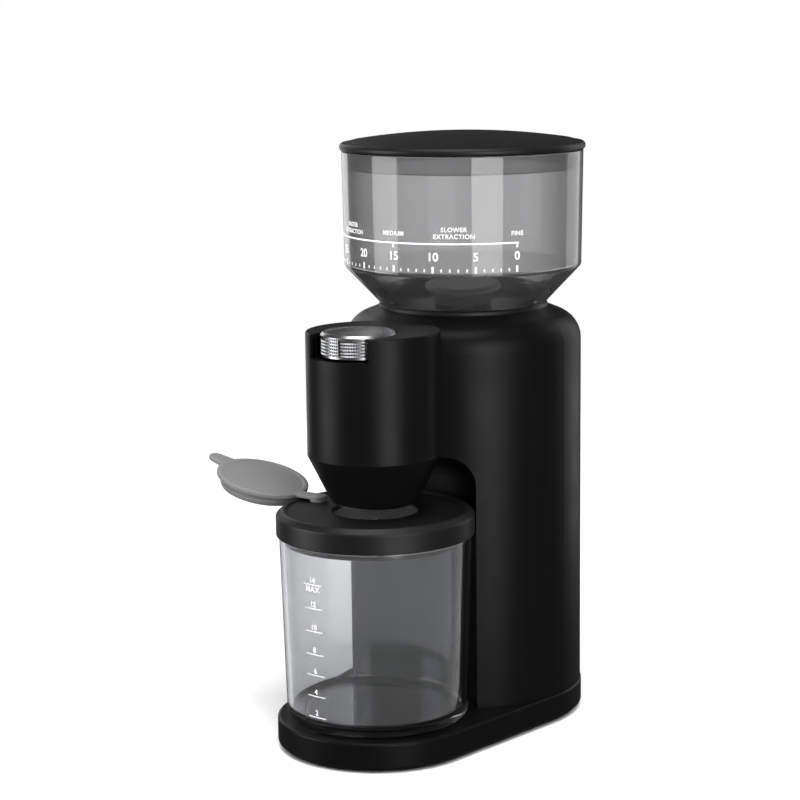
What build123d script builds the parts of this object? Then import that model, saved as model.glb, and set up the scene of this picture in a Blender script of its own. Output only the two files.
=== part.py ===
"""Burr coffee grinder, assembled.

Frame: millimetres, +Z up, front towards -Y. The origin is on the table, under the burr axis.
The column stands on the burr axis; the spout and the grounds container share a second upright
axis, "reach" in front of it.
"""
from build123d import *
from math import acos, cos, pi, radians, sin, tan
import os

os.makedirs("parts", exist_ok=True)

# ---------------------------------------------------------------- driving sizes
wall = 2.5  # moulded casing wall
gap = 0.3  # between moulded pieces that only lie beside each other
running = 0.05  # radial clearance of a shaft or sleeve that turns or slides

foot_stand = 1.5  # the feet hold the base this far off the table
base_height = 16.0
base_edge_round = 1.5
base_toe = 2.4  # chamfer under the base

column_radius = 68.8
column_height = 223.6  # base top to shoulder top
shoulder_slope = 22.0  # degrees
shoulder_round = 17.0

head_radius = 37.5
head_drop = 3.6  # head top below the shoulder's top
head_cap_height = 20.7
cone_height = 27.5
spout_radius = 24.0
spout_round = 3.5
chute_radius = 14.0
duct_wall = 1.6

hopper_radius = 70.0
hopper_height = 88.5  # collar top to rim
hopper_wall = 2.6
hopper_draft = 1.1  # the wall comes in this much from rim to shoulder
hopper_straight = 66.5
hopper_neck_height = 8.0
key_flange = 2.5  # rim inside the foot of the neck that carries the keys
lid_dome = 5.5
lid_bead = 5.0
lid_overhang = 1.4
lid_skirt_depth = 10.5

collar_show = 7.5  # how far the collar stands above the shoulder's edge
shoulder_fall = 5.3  # the opening's edge lies this far below the shoulder's nominal top
hopper_floor_sunk = 3.7  # hopper floor below the collar's top

container_radius = 54.3  # the lid and the front of the base follow it
container_draft = 3.1
container_height = 108.5
container_wall = 2.8
container_floor = 5.0
container_corner = 5.0
lid_side = 12.0
mouth_radius = 24.0
bay_gap = 1.3  # container lid to the column's hollow
bay_round = 17.0
bay_drop = 4.5  # the hollow's roof below the top of the spout cone
spout_gap = 3.5  # container lid to spout

cap_radius = 27.0
cap_thickness = 3.4
cap_plug_depth = 5.5
cap_tilt = 15.0  # degrees, outer end up
cap_rise = 9.0  # cap centre above the container lid
strap_boss_radius = 5.0
strap_pin_radius = 3.0

dial_radius = 21.0
dial_height = 13.0
dial_offset = 13.6  # in front of the spout axis
dial_proud = 1.2
dial_gap = 0.6
dial_travel = 1.0
notch_half = 19.7

gear_module = 1.0
motor_pinion_teeth = 14
layshaft_gear_teeth = 50
layshaft_pinion_teeth = 16
output_gear_teeth = 48
pressure_angle = 25.0
backlash = 0.16

shaft_radius = 5.0
layshaft_radius = 3.0
motor_radius = 27.0
motor_mount_height = 8.0
gearbox_clearance = 2.0  # air between motor and gearbox
rotor_radius = 20.0
motor_shaft_radius = 3.0

chamber_radius = 41.0  # bore that carries the burr carrier; the neck and collar follow it
chamber_wall = 4.0
chamber_depth = 41.5  # chamber floor below the hopper's neck
neck_clearance = 1.2  # chamber rim below the hopper's neck, filled by the seal
ring_burr_height = 14.0
cone_burr_radius = 20.5
cone_burr_height = 22.0
burr_gap = 0.9

# ---------------------------------------------------------------- sizes that follow
reach = column_radius + 22.4  # burr axis to spout axis: the head bites into the column
base_back_radius = column_radius + 0.6
hopper_neck_radius = chamber_radius + 3.0
hopper_throat_radius = hopper_neck_radius + 4.6
collar_radius = hopper_neck_radius + 5.3
chamber_flange = collar_radius + 4.7
collar_screw_circle = collar_radius + 2.3
ring_burr_radius = chamber_radius - 11.0
key_inner = chamber_radius - 4.5
lid_radius = container_radius + 1.6
base_front_radius = container_radius + 3.7
cap_plug_radius = mouth_radius - 0.3
# strap boss to cap centre, and to the spout axis, so that the parked plug just clears the lid
cap_reach = (lid_radius + cap_plug_radius) / 2

# ---------------------------------------------------------------- levels that follow
base_top = foot_stand + base_height
shoulder_top = base_top + column_height
lid_drop = 1.0  # of the container lid's side that hangs below the container's rim, less its top
container_lid_top = base_top + container_height + lid_side - lid_drop
spout_mouth = container_lid_top + spout_gap
head_top = shoulder_top - head_drop
head_seam = head_top - head_cap_height
cone_top = spout_mouth + cone_height
collar_top = shoulder_top - shoulder_fall + collar_show
hopper_rim = collar_top + hopper_height
hopper_floor = collar_top - hopper_floor_sunk
neck_bottom = hopper_floor - hopper_neck_height - key_flange
bay_radius = lid_radius + bay_gap
bay_top = cone_top - bay_drop
dial_y = -reach - dial_offset
dial_top = head_top + dial_proud
dial_bottom = dial_top - dial_height
dial_well_floor = dial_bottom - dial_travel - gap

# the motor takes the height that gearbox, burrs and hopper neck leave
motor_height = column_height - 145.6
motor_bottom = base_top + motor_mount_height
motor_top = motor_bottom + motor_height
gearbox_floor = motor_top + gearbox_clearance
gear_train = 26.0  # inside height of the gearbox
gearbox_plate = 4.0
chamber_floor = neck_bottom - chamber_depth
chamber_rim = neck_bottom - neck_clearance
layshaft_y = gear_module * (motor_pinion_teeth + layshaft_gear_teeth) / 2

# ---------------------------------------------------------------- helpers
spout_axis = Axis((0, -reach, 0), (0, 0, 1))


def side_plane(y=0.0):
    """Upright drawing plane through (0, y): local x is X, local y is Z."""
    return Plane(origin=(0, y, 0), x_dir=(1, 0, 0), z_dir=(0, -1, 0))


def flat(z):
    return Plane.XY.offset(z)


def save(piece, label):
    piece.part.label = label
    export_step(piece.part, f"parts/{label}.step")


def ring_of(count, radius, start=0.0):
    """Points on a circle about the burr axis."""
    step = 360 / count
    return [
        (radius * cos(radians(start + i * step)), radius * sin(radians(start + i * step)))
        for i in range(count)
    ]


def closed_outline(*points):
    """A filled outline with straight sides, in the sketch that is open."""
    with BuildLine() as outline:
        Polyline(*points, close=True)
    make_face(outline.edges())


def screws(label, spots, z, shank_radius, shank_length, head_radius, head_height, up=True):
    """A group of identical cross-head screws; z is the seat of their heads."""
    with BuildPart() as group:
        for x, y in spots:
            way = 1 if up else -1
            with BuildSketch(Plane(origin=(x, y, z), z_dir=(0, 0, way))):
                Circle(head_radius)
            extrude(amount=head_height)
            with BuildSketch(Plane(origin=(x, y, z), z_dir=(0, 0, -way))):
                Circle(shank_radius)
            extrude(amount=shank_length)
            with BuildSketch(Plane(origin=(x, y, z + way * head_height), z_dir=(0, 0, -way))):
                Rectangle(head_radius * 1.2, head_radius * 0.3)
                Rectangle(head_radius * 0.3, head_radius * 1.2)
            extrude(amount=head_height * 0.5, mode=Mode.SUBTRACT)
    save(group, label)
    return group


def involute(angle):
    return tan(angle) - angle


def gear_outline(teeth, turn):
    """Gear outline about the local origin, one tooth pointing along "turn" degrees."""
    pitch = gear_module * teeth / 2
    base = pitch * cos(radians(pressure_angle))
    tip = pitch + 0.9 * gear_module
    root = pitch - 1.2 * gear_module
    half_at_pitch = pi / (2 * teeth) - backlash / (2 * pitch)
    half_at_base = half_at_pitch + involute(radians(pressure_angle))

    def spot(radius, angle):
        return (radius * cos(angle), radius * sin(angle))

    def half(radius):
        return half_at_base - involute(acos(min(1.0, base / radius)))

    start = max(base, root)
    middle = (start + tip) / 2
    with BuildLine() as outline:
        for tooth in range(teeth):
            way = radians(turn) + 2 * pi * tooth / teeth
            following = way + 2 * pi / teeth
            if root < base:
                Line(spot(root, way - half(start)), spot(start, way - half(start)))
                Line(spot(start, way + half(start)), spot(root, way + half(start)))
            ThreePointArc(
                spot(start, way - half(start)), spot(middle, way - half(middle)), spot(tip, way - half(tip))
            )
            Line(spot(tip, way - half(tip)), spot(tip, way + half(tip)))
            ThreePointArc(
                spot(tip, way + half(tip)), spot(middle, way + half(middle)), spot(start, way + half(start))
            )
            Line(spot(root, way + half(start)), spot(root, following - half(start)))
    make_face(outline.edges())


# ================================================================ casing
def base_outline(inset=0.0):
    """Teardrop plan of the base: a wide back round the column, a narrower front."""
    Circle(base_back_radius - inset)
    with Locations((0, -reach + 1.6)):
        Circle(base_front_radius - inset)
    make_hull()


vent_radius = 2.5
vent_circle = 8.0
vent_count = 6
wire_hole_radius = 4.0
wire_hole_y = 42.0
cord_height = foot_stand + base_height / 2 + 0.7
gland_radius = 5.2
cord_bore_radius = 3.4
cover_thickness = 2.5
base_wall = wall + 1.0
front_screw_x = base_front_radius - 18.0
front_screw_y = -reach - 4.8
toe_screw_y = -reach - base_front_radius + 11.2
cover_screw_spots = [
    (-56, 16),
    (56, 16),
    (-front_screw_x, front_screw_y),
    (front_screw_x, front_screw_y),
    (0, toe_screw_y),
]
screw_boss_radius = 4.5
cover_screw_radius = 1.6
shell_boss_circle = column_radius - 6.4  # so that each boss is joined to the column's wall
shell_boss_spots = [
    (shell_boss_circle * cos(radians(a)), shell_boss_circle * sin(radians(a))) for a in (26.2, 77, 103, 153.8)
]
shell_boss_height = 18.0
screw_boss_end = 4.0  # solid end of a screw boss

with BuildPart() as base:
    with BuildSketch(flat(foot_stand)):
        base_outline()
    extrude(amount=base_height)
    chamfer(base.edges().group_by(Axis.Z)[0], base_toe)
    fillet(base.edges().group_by(Axis.Z)[-1], base_edge_round)
    with BuildSketch(flat(foot_stand)):
        base_outline(inset=base_wall)
    extrude(amount=base_height - wall, mode=Mode.SUBTRACT)
    # posts that take the cover's screws
    with BuildSketch(flat(foot_stand + cover_thickness + gap)):
        with Locations(*cover_screw_spots):
            Circle(screw_boss_radius)
    extrude(amount=base_height - wall - cover_thickness - gap)
    with BuildSketch(flat(foot_stand)):
        with Locations(*cover_screw_spots):
            Circle(cover_screw_radius)
    extrude(amount=base_height - wall - 2, mode=Mode.SUBTRACT)
    # wires and cooling air pass up into the column
    with BuildSketch(flat(base_top - wall)):
        with PolarLocations(vent_circle, vent_count):
            Circle(vent_radius)
        with Locations((0, wire_hole_y)):
            Circle(wire_hole_radius)
        with Locations(*shell_boss_spots):
            Circle(cover_screw_radius)
    extrude(amount=wall, mode=Mode.SUBTRACT)
    with BuildSketch(Plane(origin=(0, base_back_radius, cord_height), z_dir=(0, 1, 0))):
        Circle(gland_radius)
    extrude(amount=-8, mode=Mode.SUBTRACT)
save(base, "base")

foot_ring_radius = 45.0
foot_ring_width = 5.0
front_foot_radius = 6.5
front_foot_circle = base_front_radius - 13.8
front_foot_x = front_foot_circle * sin(radians(42.8))
front_foot_y = 1.6 - reach - front_foot_circle * cos(radians(42.8))
front_foot_spots = [(-front_foot_x, front_foot_y), (front_foot_x, front_foot_y)]
foot_sunk = 1.2
air_slot_count = 9
air_slot_pitch = 7.0
air_slot_length = 44.0
air_slot_width = 3.0
cover_screw_head_radius = 3.0
cover_screw_sunk = 1.5

with BuildPart() as bottom_cover:
    with BuildSketch(flat(foot_stand)):
        base_outline(inset=base_wall + gap)
    extrude(amount=cover_thickness)
    with BuildSketch(flat(foot_stand)):
        with Locations(*cover_screw_spots):
            Circle(cover_screw_radius + 0.2)
    extrude(amount=cover_thickness, mode=Mode.SUBTRACT)
    with BuildSketch(flat(foot_stand)):
        with Locations(*cover_screw_spots):
            Circle(cover_screw_head_radius + 0.4)
    extrude(amount=cover_screw_sunk, mode=Mode.SUBTRACT)
    # air slots under the motor
    with BuildSketch(flat(foot_stand)):
        with GridLocations(air_slot_pitch, 0, air_slot_count, 1):
            SlotOverall(air_slot_length, air_slot_width, rotation=90)
    extrude(amount=cover_thickness, mode=Mode.SUBTRACT)
    with BuildSketch(flat(foot_stand)):
        Circle(foot_ring_radius + foot_ring_width / 2)
        Circle(foot_ring_radius - foot_ring_width / 2, mode=Mode.SUBTRACT)
        with Locations(*front_foot_spots):
            Circle(front_foot_radius)
    extrude(amount=foot_sunk, mode=Mode.SUBTRACT)
save(bottom_cover, "bottom_cover")

with BuildPart() as foot_ring:
    with BuildSketch(flat(0)):
        Circle(foot_ring_radius + foot_ring_width / 2)
        Circle(foot_ring_radius - foot_ring_width / 2, mode=Mode.SUBTRACT)
    extrude(amount=foot_stand + foot_sunk)
save(foot_ring, "foot_ring")

with BuildPart() as front_feet:
    with BuildSketch(flat(0)):
        with Locations(*front_foot_spots):
            Circle(front_foot_radius)
    extrude(amount=foot_stand + foot_sunk)
save(front_feet, "front_feet")

screws(
    "cover_screws",
    cover_screw_spots,
    foot_stand + cover_screw_sunk,
    shank_radius=cover_screw_radius - 0.1,
    shank_length=9,
    head_radius=cover_screw_head_radius,
    head_height=1.2,
    up=False,
)

gland_flange = 2.2
gland_lip = 1.6
gland_depth = 6.0
with BuildPart() as cord_gland:
    with BuildSketch(Plane(origin=(0, base_back_radius, cord_height), z_dir=(0, 1, 0))):
        Circle(gland_radius + gland_lip)
    extrude(amount=gland_flange)
    with BuildSketch(Plane(origin=(0, base_back_radius, cord_height), z_dir=(0, 1, 0))):
        Circle(gland_radius - running)
    extrude(amount=-gland_depth)
    with BuildSketch(Plane(origin=(0, base_back_radius + gland_flange, cord_height), z_dir=(0, 1, 0))):
        Circle(cord_bore_radius)
    extrude(amount=-gland_flange - gland_depth, mode=Mode.SUBTRACT)
save(cord_gland, "cord_gland")


def column_profile(inset, bottom):
    """Half section of the column from its foot to the shoulder's opening."""
    slope = radians(shoulder_slope)
    rim = collar_radius + gap
    outer = column_radius - inset
    bend = shoulder_round - inset
    # where the sloping shoulder line, moved in by the inset, leaves the opening
    top = shoulder_top - inset / cos(slope)
    centre_r = column_radius - shoulder_round
    tangent_r = centre_r + bend * sin(slope)
    tangent_z = top - (tangent_r - rim) * tan(slope)
    centre_z = tangent_z - bend * cos(slope)
    half_turn = (pi / 2 - slope) / 2
    with BuildLine() as outline:
        Line((0, bottom), (outer, bottom))
        Line((outer, bottom), (outer, centre_z))
        ThreePointArc(
            (outer, centre_z),
            (centre_r + bend * cos(half_turn), centre_z + bend * sin(half_turn)),
            (tangent_r, tangent_z),
        )
        Line((tangent_r, tangent_z), (rim, top))
        Line((rim, top), (0, top))
        Line((0, top), (0, bottom))
    make_face(outline.edges())


def bay_profile(grow, bottom):
    """Half section of the hollow that the container stands in."""
    with BuildLine() as outline:
        Line((0, bottom), (bay_radius + grow, bottom))
        Line((bay_radius + grow, bottom), (bay_radius + grow, bay_top - bay_round))
        RadiusArc(
            (bay_radius + grow, bay_top - bay_round),
            (bay_radius - bay_round, bay_top + grow),
            -(bay_round + grow),
        )
        Line((bay_radius - bay_round, bay_top + grow), (0, bay_top + grow))
        Line((0, bay_top + grow), (0, bottom))
    make_face(outline.edges())


def head_profile(inset, mouth, top):
    """Half section of the head: cylinder above, spout cone below."""
    lean = (head_radius - spout_radius) / cone_height
    side_step = inset * (1 + lean * lean) ** 0.5
    foot = spout_radius + (mouth - spout_mouth) * lean - side_step
    corner = cone_top + (side_step - inset) / lean
    closed_outline(
        (0, mouth),
        (foot, mouth),
        (head_radius - inset, corner),
        (head_radius - inset, top),
        (0, top),
    )


with BuildPart() as casing_cavity:
    with BuildSketch(side_plane()):
        column_profile(wall, base_top - 1)
    revolve(axis=Axis.Z)
    with BuildSketch(side_plane(-reach)):
        bay_profile(wall, base_top - 2)
    revolve(axis=spout_axis, mode=Mode.SUBTRACT)
    with BuildSketch(side_plane(-reach)):
        head_profile(wall, spout_mouth + wall, head_seam + 1)
    revolve(axis=spout_axis)

with BuildPart() as body_shell:
    with BuildSketch(side_plane()):
        column_profile(0, base_top)
    revolve(axis=Axis.Z)
    with BuildSketch(side_plane(-reach)):
        bay_profile(0, base_top - 1)
    revolve(axis=spout_axis, mode=Mode.SUBTRACT)
    with BuildSketch(side_plane(-reach)):
        head_profile(0, spout_mouth, head_seam)
    revolve(axis=spout_axis)
    round_edges = body_shell.edges().filter_by(GeomType.CIRCLE)
    fillet(round_edges.filter_by_position(Axis.Z, spout_mouth - 0.01, spout_mouth + 0.01), spout_round)
    add(casing_cavity.part, mode=Mode.SUBTRACT)
    with BuildSketch(flat(shoulder_top - 20)):
        Circle(collar_radius + gap)
    extrude(amount=40, mode=Mode.SUBTRACT)
    with BuildSketch(flat(spout_mouth - 1)):
        with Locations((0, -reach)):
            Circle(chute_radius + duct_wall + gap)
    extrude(amount=wall + 3, mode=Mode.SUBTRACT)
    # screw posts at the foot of the column
    with BuildSketch(flat(base_top)):
        with Locations(*shell_boss_spots):
            Circle(screw_boss_radius)
    extrude(amount=shell_boss_height)
    with BuildSketch(flat(base_top)):
        with Locations(*shell_boss_spots):
            Circle(cover_screw_radius)
    extrude(amount=shell_boss_height - screw_boss_end, mode=Mode.SUBTRACT)
save(body_shell, "body_shell")
screws(
    "shell_screws",
    shell_boss_spots,
    base_top - wall,
    shank_radius=cover_screw_radius - 0.1,
    shank_length=12,
    head_radius=3.0,
    head_height=1.8,
    up=False,
)

lip_thickness = 1.8
lip_depth = 3.0  # down into the lower head, and as far up into the cap
seam_room = 0.15  # between the cap and the column's shoulder

with BuildPart() as column_room:
    with BuildSketch(side_plane()):
        column_profile(-seam_room, head_seam - 10)
    revolve(axis=Axis.Z)

# lip that locates the cap in the lower head
with BuildPart() as head_lip:
    with BuildSketch(flat(head_seam - lip_depth)):
        with Locations((0, -reach)):
            Circle(head_radius - wall - 0.1)
            Circle(head_radius - wall - lip_thickness, mode=Mode.SUBTRACT)
    extrude(amount=2 * lip_depth)
    with BuildSketch(flat(head_seam)):
        with Locations((0, -reach)):
            Circle(head_radius - wall)
            Circle(head_radius - wall - lip_thickness, mode=Mode.SUBTRACT)
    extrude(amount=lip_depth)
    add(column_room.part, mode=Mode.SUBTRACT)

encoder_top = dial_well_floor - wall - gap
encoder_bottom = head_seam - 1.6
encoder_collar_radius = 4.5
dial_board_thickness = 1.6
board_post_spots = [(-13, dial_y), (13, dial_y)]
board_post_radius = 2.8
board_screw_radius = 1.2
board_screw_length = 6.0

with BuildPart() as head_cap:
    with BuildSketch(flat(head_seam)):
        with Locations((0, -reach)):
            Circle(head_radius)
    extrude(amount=head_cap_height)
    fillet(head_cap.edges().group_by(Axis.Z)[-1], 1.0)
    # the back follows the column's shoulder
    add(column_room.part, mode=Mode.SUBTRACT)
    # hollow underneath, all but the wall round the dial's well
    with BuildSketch(flat(head_seam)):
        with Locations((0, -reach)):
            Circle(head_radius - wall)
    extrude(amount=dial_well_floor - wall - head_seam, mode=Mode.SUBTRACT)
    with BuildSketch(flat(dial_well_floor - wall)):
        with Locations((0, -reach)):
            Circle(head_radius - wall)
        with Locations((0, dial_y)):
            Circle(dial_radius + dial_gap + wall, mode=Mode.SUBTRACT)
    extrude(amount=head_top - dial_well_floor, mode=Mode.SUBTRACT)
    with BuildSketch(flat(dial_well_floor)):
        with Locations((0, dial_y)):
            Circle(dial_radius + dial_gap)
        with Locations((0, dial_y)):
            Rectangle(2 * notch_half, 2 * dial_radius, align=(Align.CENTER, Align.MAX))
    extrude(amount=head_cap_height, mode=Mode.SUBTRACT)
    with BuildSketch(flat(dial_well_floor - wall)):
        with Locations((0, dial_y)):
            Circle(encoder_collar_radius + gap)
    extrude(amount=wall, mode=Mode.SUBTRACT)
    add(head_lip.part)
    # posts for the dial's board
    with BuildSketch(flat(encoder_bottom)):
        with Locations(*board_post_spots):
            Circle(board_post_radius)
    extrude(amount=dial_well_floor - wall - encoder_bottom)
    with BuildSketch(flat(encoder_bottom)):
        with Locations(*board_post_spots):
            Circle(board_screw_radius + 0.1)
    extrude(amount=board_screw_length - dial_board_thickness + 0.6, mode=Mode.SUBTRACT)
save(head_cap, "head_cap")

# ================================================================ dial and its encoder
encoder_shaft_radius = 2.5
encoder_sleeve_radius = 3.3
encoder_side = 13.0
dial_rib_count = 6
rib_start = 0.6  # lowest groove above the dial's lower edge
rib_end = 2.0  # plain band above the highest groove
groove_width = 0.7
groove_depth = 0.45
rib_pitch = (dial_height - rib_start - rib_end) / dial_rib_count
dial_side_wall = 2.2
dial_top_wall = 3.0
dial_hub_radius = 5.5
shaft_end_wall = 4.0  # dial metal above the end of the encoder's shaft

with BuildPart() as dial_knob:
    with BuildSketch(flat(dial_bottom)):
        with Locations((0, dial_y)):
            Circle(dial_radius)
    extrude(amount=dial_height)
    fillet(dial_knob.edges().group_by(Axis.Z)[-1], 1.4)
    # six ribs down the side
    for rib in range(dial_rib_count):
        with BuildSketch(flat(dial_bottom + rib_start + rib * rib_pitch)):
            with Locations((0, dial_y)):
                Circle(dial_radius + 1)
                Circle(dial_radius - groove_depth, mode=Mode.SUBTRACT)
        extrude(amount=groove_width, mode=Mode.SUBTRACT)
    # hollow underneath round the hub
    with BuildSketch(flat(dial_bottom)):
        with Locations((0, dial_y)):
            Circle(dial_radius - dial_side_wall)
            Circle(dial_hub_radius, mode=Mode.SUBTRACT)
    extrude(amount=dial_height - dial_top_wall, mode=Mode.SUBTRACT)
    with BuildSketch(flat(dial_bottom)):
        with Locations((0, dial_y)):
            Circle(encoder_shaft_radius)
    extrude(amount=dial_height - shaft_end_wall, mode=Mode.SUBTRACT)
save(dial_knob, "dial_knob")

shaft_bottom_room = 1.2
with BuildPart() as encoder_shaft:
    with BuildSketch(flat(encoder_bottom + dial_travel + shaft_bottom_room)):
        with Locations((0, dial_y)):
            Circle(encoder_shaft_radius)
    extrude(amount=dial_top - shaft_end_wall - encoder_bottom - dial_travel - shaft_bottom_room)
save(encoder_shaft, "encoder_shaft")

with BuildPart() as encoder_sleeve:
    with BuildSketch(flat(encoder_bottom + 1.0)):
        with Locations((0, dial_y)):
            Circle(encoder_sleeve_radius)
            Circle(encoder_shaft_radius + running, mode=Mode.SUBTRACT)
    extrude(amount=dial_bottom - dial_travel - 0.4 - encoder_bottom - 1.0)
save(encoder_sleeve, "encoder_sleeve")

with BuildPart() as encoder_body:
    with BuildSketch(flat(encoder_bottom)):
        with Locations((0, dial_y)):
            Rectangle(encoder_side, encoder_side)
    extrude(amount=encoder_top - encoder_bottom)
    with BuildSketch(flat(encoder_top)):
        with Locations((0, dial_y)):
            Circle(encoder_collar_radius)
    extrude(amount=wall)
    with BuildSketch(flat(encoder_bottom + 0.8)):
        with Locations((0, dial_y)):
            Circle(encoder_sleeve_radius + running)
    extrude(amount=20, mode=Mode.SUBTRACT)
save(encoder_body, "encoder_body")

with BuildPart() as dial_board:
    with BuildSketch(flat(encoder_bottom - dial_board_thickness)):
        with Locations((0, dial_y)):
            RectangleRounded(36, 22, 2)
        with Locations(*board_post_spots):
            Circle(board_screw_radius + 0.2, mode=Mode.SUBTRACT)
    extrude(amount=dial_board_thickness)
save(dial_board, "dial_board")
screws(
    "board_screws",
    board_post_spots,
    encoder_bottom - dial_board_thickness,
    shank_radius=board_screw_radius,
    shank_length=board_screw_length,
    head_radius=2.2,
    head_height=1.2,
    up=False,
)

# ================================================================ hopper
throat_z = collar_top + 0.4
shoulder_corner_round = 1.6
cone_corner_z = hopper_rim - hopper_straight
cone_corner_r = hopper_radius - hopper_draft
feed_radius = 13.5
neck_wall = 2.6
key_outer = chamber_radius - 0.6
key_drop = 6.0
key_count = 3
key_width = 10.0
key_slack = 0.3  # each side of a key in its slot

with BuildPart() as hopper:
    with BuildSketch(side_plane()):
        closed_outline(
            (hopper_radius, hopper_rim),
            (cone_corner_r, cone_corner_z),
            (hopper_throat_radius, throat_z),
            (hopper_neck_radius, throat_z),
            (hopper_neck_radius, neck_bottom),
            (key_inner, neck_bottom),
            (key_inner, neck_bottom + key_flange),
            (hopper_neck_radius - neck_wall, neck_bottom + key_flange),
            (hopper_neck_radius - neck_wall, hopper_floor - hopper_wall),
            (feed_radius, hopper_floor - hopper_wall),
            (feed_radius, hopper_floor),
            (hopper_neck_radius - neck_wall, hopper_floor),
            (hopper_neck_radius - neck_wall, throat_z - 0.5),
            (cone_corner_r - hopper_wall, cone_corner_z + 1.1),
            (hopper_radius - hopper_wall, hopper_rim),
        )
    revolve(axis=Axis.Z)
    corner = hopper.edges().filter_by(GeomType.CIRCLE)
    fillet(corner.filter_by_position(Axis.Z, cone_corner_z - 0.1, cone_corner_z + 1.2), shoulder_corner_round)
    # keys that turn the burr carrier
    with BuildSketch(flat(neck_bottom)):
        with PolarLocations((key_inner + key_outer) / 2, key_count, start_angle=30):
            Rectangle(key_outer - key_inner - 0.6, key_width)
    extrude(amount=-key_drop)
save(hopper, "hopper")

guard_radius = 22.5
guard_stem_radius = 16.9
guard_height = 11.2
guard_disc = 3.4
guard_leg_count = 6
guard_leg_depth = 2.6
guard_leg_width = 7.0
guard_foot = 1.6  # ring that joins the legs
with BuildPart() as bean_guard:
    with BuildSketch(flat(hopper_floor)):
        Circle(guard_stem_radius)
        Circle(feed_radius + 0.4, mode=Mode.SUBTRACT)
    extrude(amount=guard_foot)
    with BuildSketch(flat(hopper_floor)):
        with PolarLocations((guard_stem_radius + feed_radius) / 2, guard_leg_count):
            Rectangle(guard_leg_depth, guard_leg_width)
    extrude(amount=guard_height - guard_disc + 0.5)
    with BuildSketch(flat(hopper_floor + guard_height - guard_disc)):
        Circle(guard_radius)
    extrude(amount=guard_disc)
    fillet(bean_guard.edges().group_by(Axis.Z)[-1], 1.2)
save(bean_guard, "bean_guard")

lid_seat_gap = 0.1
lid_base = hopper_rim + lid_seat_gap
lid_edge_radius = hopper_radius + lid_overhang
bead_middle = lid_edge_radius - lid_bead / 2
apex_flat = 6.0
lid_hollow = 2.6
skirt_radius = hopper_radius - hopper_wall - 0.6
skirt_wall = 2.0
with BuildPart() as hopper_lid:
    with BuildSketch(side_plane()):
        with BuildLine() as lid_line:
            Line((0, lid_base), (bead_middle, lid_base))
            ThreePointArc(
                (bead_middle, lid_base),
                (lid_edge_radius, lid_base + lid_bead / 2),
                (bead_middle, lid_base + lid_bead),
            )
            ThreePointArc(
                (bead_middle, lid_base + lid_bead),
                (bead_middle * 0.5, lid_base + lid_bead + lid_dome * 0.75),
                (apex_flat, lid_base + lid_bead + lid_dome),
            )
            Line((apex_flat, lid_base + lid_bead + lid_dome), (0, lid_base + lid_bead + lid_dome))
            Line((0, lid_base + lid_bead + lid_dome), (0, lid_base))
        make_face(lid_line.edges())
    revolve(axis=Axis.Z)
    # hollow that keeps the wall even
    with BuildSketch(flat(lid_base)):
        Circle(skirt_radius - skirt_wall - 0.9)
    extrude(amount=lid_hollow, mode=Mode.SUBTRACT)
save(hopper_lid, "hopper_lid")

with BuildPart() as lid_skirt:
    with BuildSketch(flat(lid_base)):
        Circle(skirt_radius)
        Circle(skirt_radius - skirt_wall, mode=Mode.SUBTRACT)
    extrude(amount=-lid_skirt_depth)
save(lid_skirt, "lid_skirt")

# ================================================================ collar and grinding chamber
flange_thickness = 3.0
collar_bore = hopper_neck_radius + 0.5
pin_circle = chamber_radius + 2.1  # the interlock pin stands this far from the burr axis
pin_radius = 1.0
collar_foot = 2.4
collar_screw_spots = ring_of(3, collar_screw_circle, 90)
collar_screw_radius = 1.3
port_half = 9.0
port_top = chamber_floor + 12.4

with BuildPart() as hopper_collar:
    with BuildSketch(side_plane()):
        closed_outline(
            (collar_bore, chamber_rim),
            (chamber_flange, chamber_rim),
            (chamber_flange, chamber_rim + collar_foot),
            (collar_radius, chamber_rim + collar_foot),
            (collar_radius, collar_top),
            (collar_bore, collar_top),
        )
    revolve(axis=Axis.Z)
    fillet(hopper_collar.edges().group_by(Axis.Z)[-1], 0.6)
    with BuildSketch(flat(chamber_rim)):
        with Locations(*collar_screw_spots):
            Circle(collar_screw_radius + 0.1)
    extrude(amount=collar_foot, mode=Mode.SUBTRACT)
save(hopper_collar, "hopper_collar")
screws(
    "collar_screws",
    collar_screw_spots,
    chamber_rim + collar_foot,
    shank_radius=collar_screw_radius,
    shank_length=4.5,
    head_radius=2.2,
    head_height=1.2,
)

bearing_radius = 11.0
bearing_height = 7.0
hub_depth = 12.0
hub_wall = 3.0
chamber_base = 4.0
shaft_room = 1.0  # round the shaft where nothing carries it
post_ear = 3.5
switch_pocket_depth = 12.0
post_spots = [(-34, -10), (34, -10), (-24, 34), (24, 34)]
post_radius = 3.5

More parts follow.
